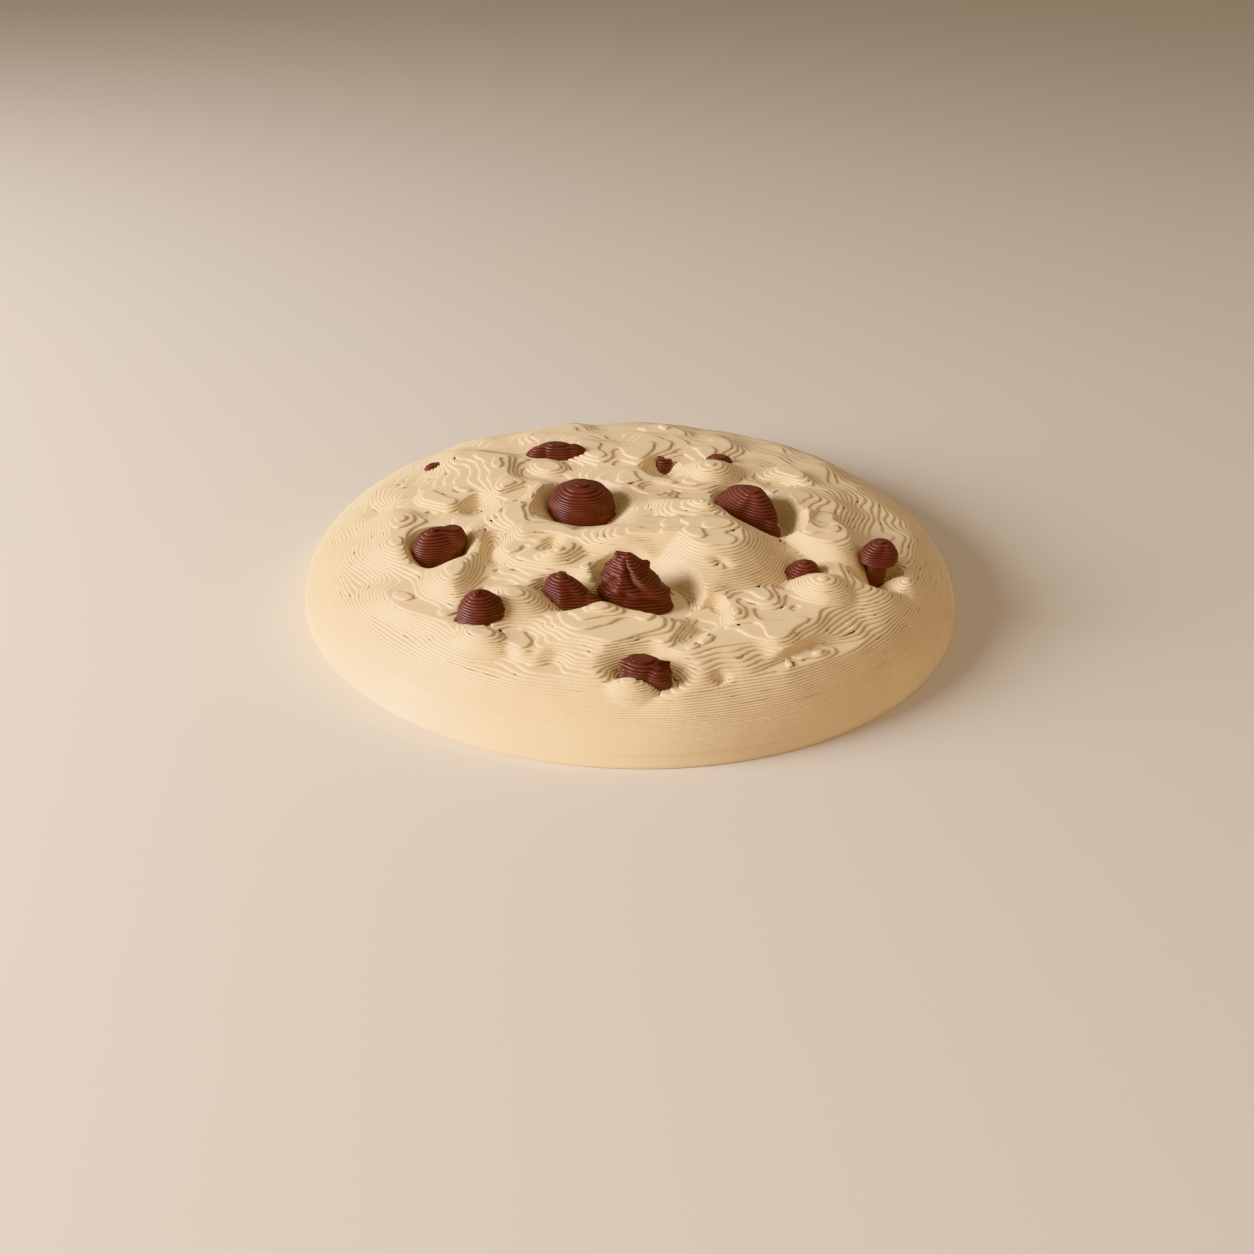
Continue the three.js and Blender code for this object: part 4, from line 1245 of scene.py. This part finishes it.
def aim(place, target, roll=0.0):
    """Matrix of a camera or light at a place that looks at a target."""
    back = (Vector(place) - Vector(target)).normalized()
    right = Vector((0, 0, 1)).cross(back).normalized()
    up = back.cross(right)
    rolled_right = math.cos(roll) * right + math.sin(roll) * up
    rolled_up = math.cos(roll) * up - math.sin(roll) * right
    turn = Matrix((rolled_right, rolled_up, back)).transposed().to_4x4()
    return Matrix.Translation(place) @ turn


def add_floor(size, colour):
    """Plain square floor under the cookie."""
    half = size / 2
    corners = [(-half, -half, 0), (half, -half, 0), (half, half, 0), (-half, half, 0)]
    mesh = bpy.data.meshes.new("floor")
    mesh.from_pydata(corners, [], [(0, 1, 2, 3)])
    mesh.materials.append(floor_material(colour))
    floor = bpy.data.objects.new("floor", mesh)
    bpy.context.scene.collection.objects.link(floor)


def add_camera(settings):
    """Camera at the viewing angle of the photograph."""
    data = bpy.data.cameras.new("camera")
    data.lens = settings.lens
    data.sensor_width = SENSOR_WIDTH
    data.clip_start = CLIP_START
    camera = bpy.data.objects.new("camera", data)
    place = Vector(settings.camera_place)
    ahead = Vector((0, math.cos(settings.camera_tilt), -math.sin(settings.camera_tilt)))
    camera.matrix_world = aim(place, place + ahead, settings.camera_roll)
    bpy.context.scene.collection.objects.link(camera)
    bpy.context.scene.camera = camera


def add_area_light(name, power, place, size, colour):
    """Round soft light that looks at the middle of the cookie."""
    data = bpy.data.lights.new(name, "AREA")
    data.shape = "DISK"
    data.size = size
    data.energy = power
    data.color = colour
    light = bpy.data.objects.new(name, data)
    light.matrix_world = aim(place, LIGHT_TARGET)
    bpy.context.scene.collection.objects.link(light)


def add_world(strength):
    """Even warm light from all round, as in a studio tent."""
    world = bpy.data.worlds.new("studio")
    world.use_nodes = True
    background = world.node_tree.nodes["Background"]
    background.inputs["Color"].default_value = WORLD_COLOUR
    background.inputs["Strength"].default_value = strength
    bpy.context.scene.world = world


class COOKIE_OT_stage(bpy.types.Operator):
    """Set up the floor, the camera and soft studio light"""

    bl_idname = "cookie.stage"
    bl_label = "Stage"

    def execute(self, context):
        settings = context.scene.cookie_stage
        add_floor(settings.floor_size, settings.floor_colour)
        add_camera(settings)
        add_area_light("key", settings.key_power, **KEY_LIGHT)
        add_area_light("fill", settings.fill_power, **FILL_LIGHT)
        add_world(settings.world_strength)
        context.scene.view_settings.view_transform = "Khronos PBR Neutral"
        return {"FINISHED"}


class COOKIE_PT_panel(bpy.types.Panel):
    """Buttons for building the cookie"""

    bl_label = "Cookie"
    bl_idname = "COOKIE_PT_panel"
    bl_space_type = "VIEW_3D"
    bl_region_type = "UI"
    bl_category = "Cookie"

    def draw(self, context):
        for owner, operator in (
            (context.scene.cookie_body, COOKIE_OT_body),
            (context.scene.cookie_chips, COOKIE_OT_chips),
            (context.scene.cookie_stage, COOKIE_OT_stage),
        ):
            column = self.layout.column()
            for name in owner.__annotations__:
                column.prop(owner, name)
            column.operator(operator.bl_idname)


CLASSES = (
    CookieBodySettings,
    CookieChipSettings,
    CookieStageSettings,
    COOKIE_OT_body,
    COOKIE_OT_chips,
    COOKIE_OT_stage,
    COOKIE_PT_panel,
)


def register():
    """Adds the classes, and their settings to every scene."""
    for cls in CLASSES:
        bpy.utils.register_class(cls)
    bpy.types.Scene.cookie_body = bpy.props.PointerProperty(type=CookieBodySettings)
    bpy.types.Scene.cookie_chips = bpy.props.PointerProperty(type=CookieChipSettings)
    bpy.types.Scene.cookie_stage = bpy.props.PointerProperty(type=CookieStageSettings)


def unregister():
    """Takes away what register added."""
    del bpy.types.Scene.cookie_stage
    del bpy.types.Scene.cookie_chips
    del bpy.types.Scene.cookie_body
    for cls in reversed(CLASSES):
        bpy.utils.unregister_class(cls)


def main():
    register()
    bpy.ops.cookie.body()
    bpy.ops.cookie.chips()
    bpy.ops.cookie.stage()


if __name__ == "__main__":
    main()
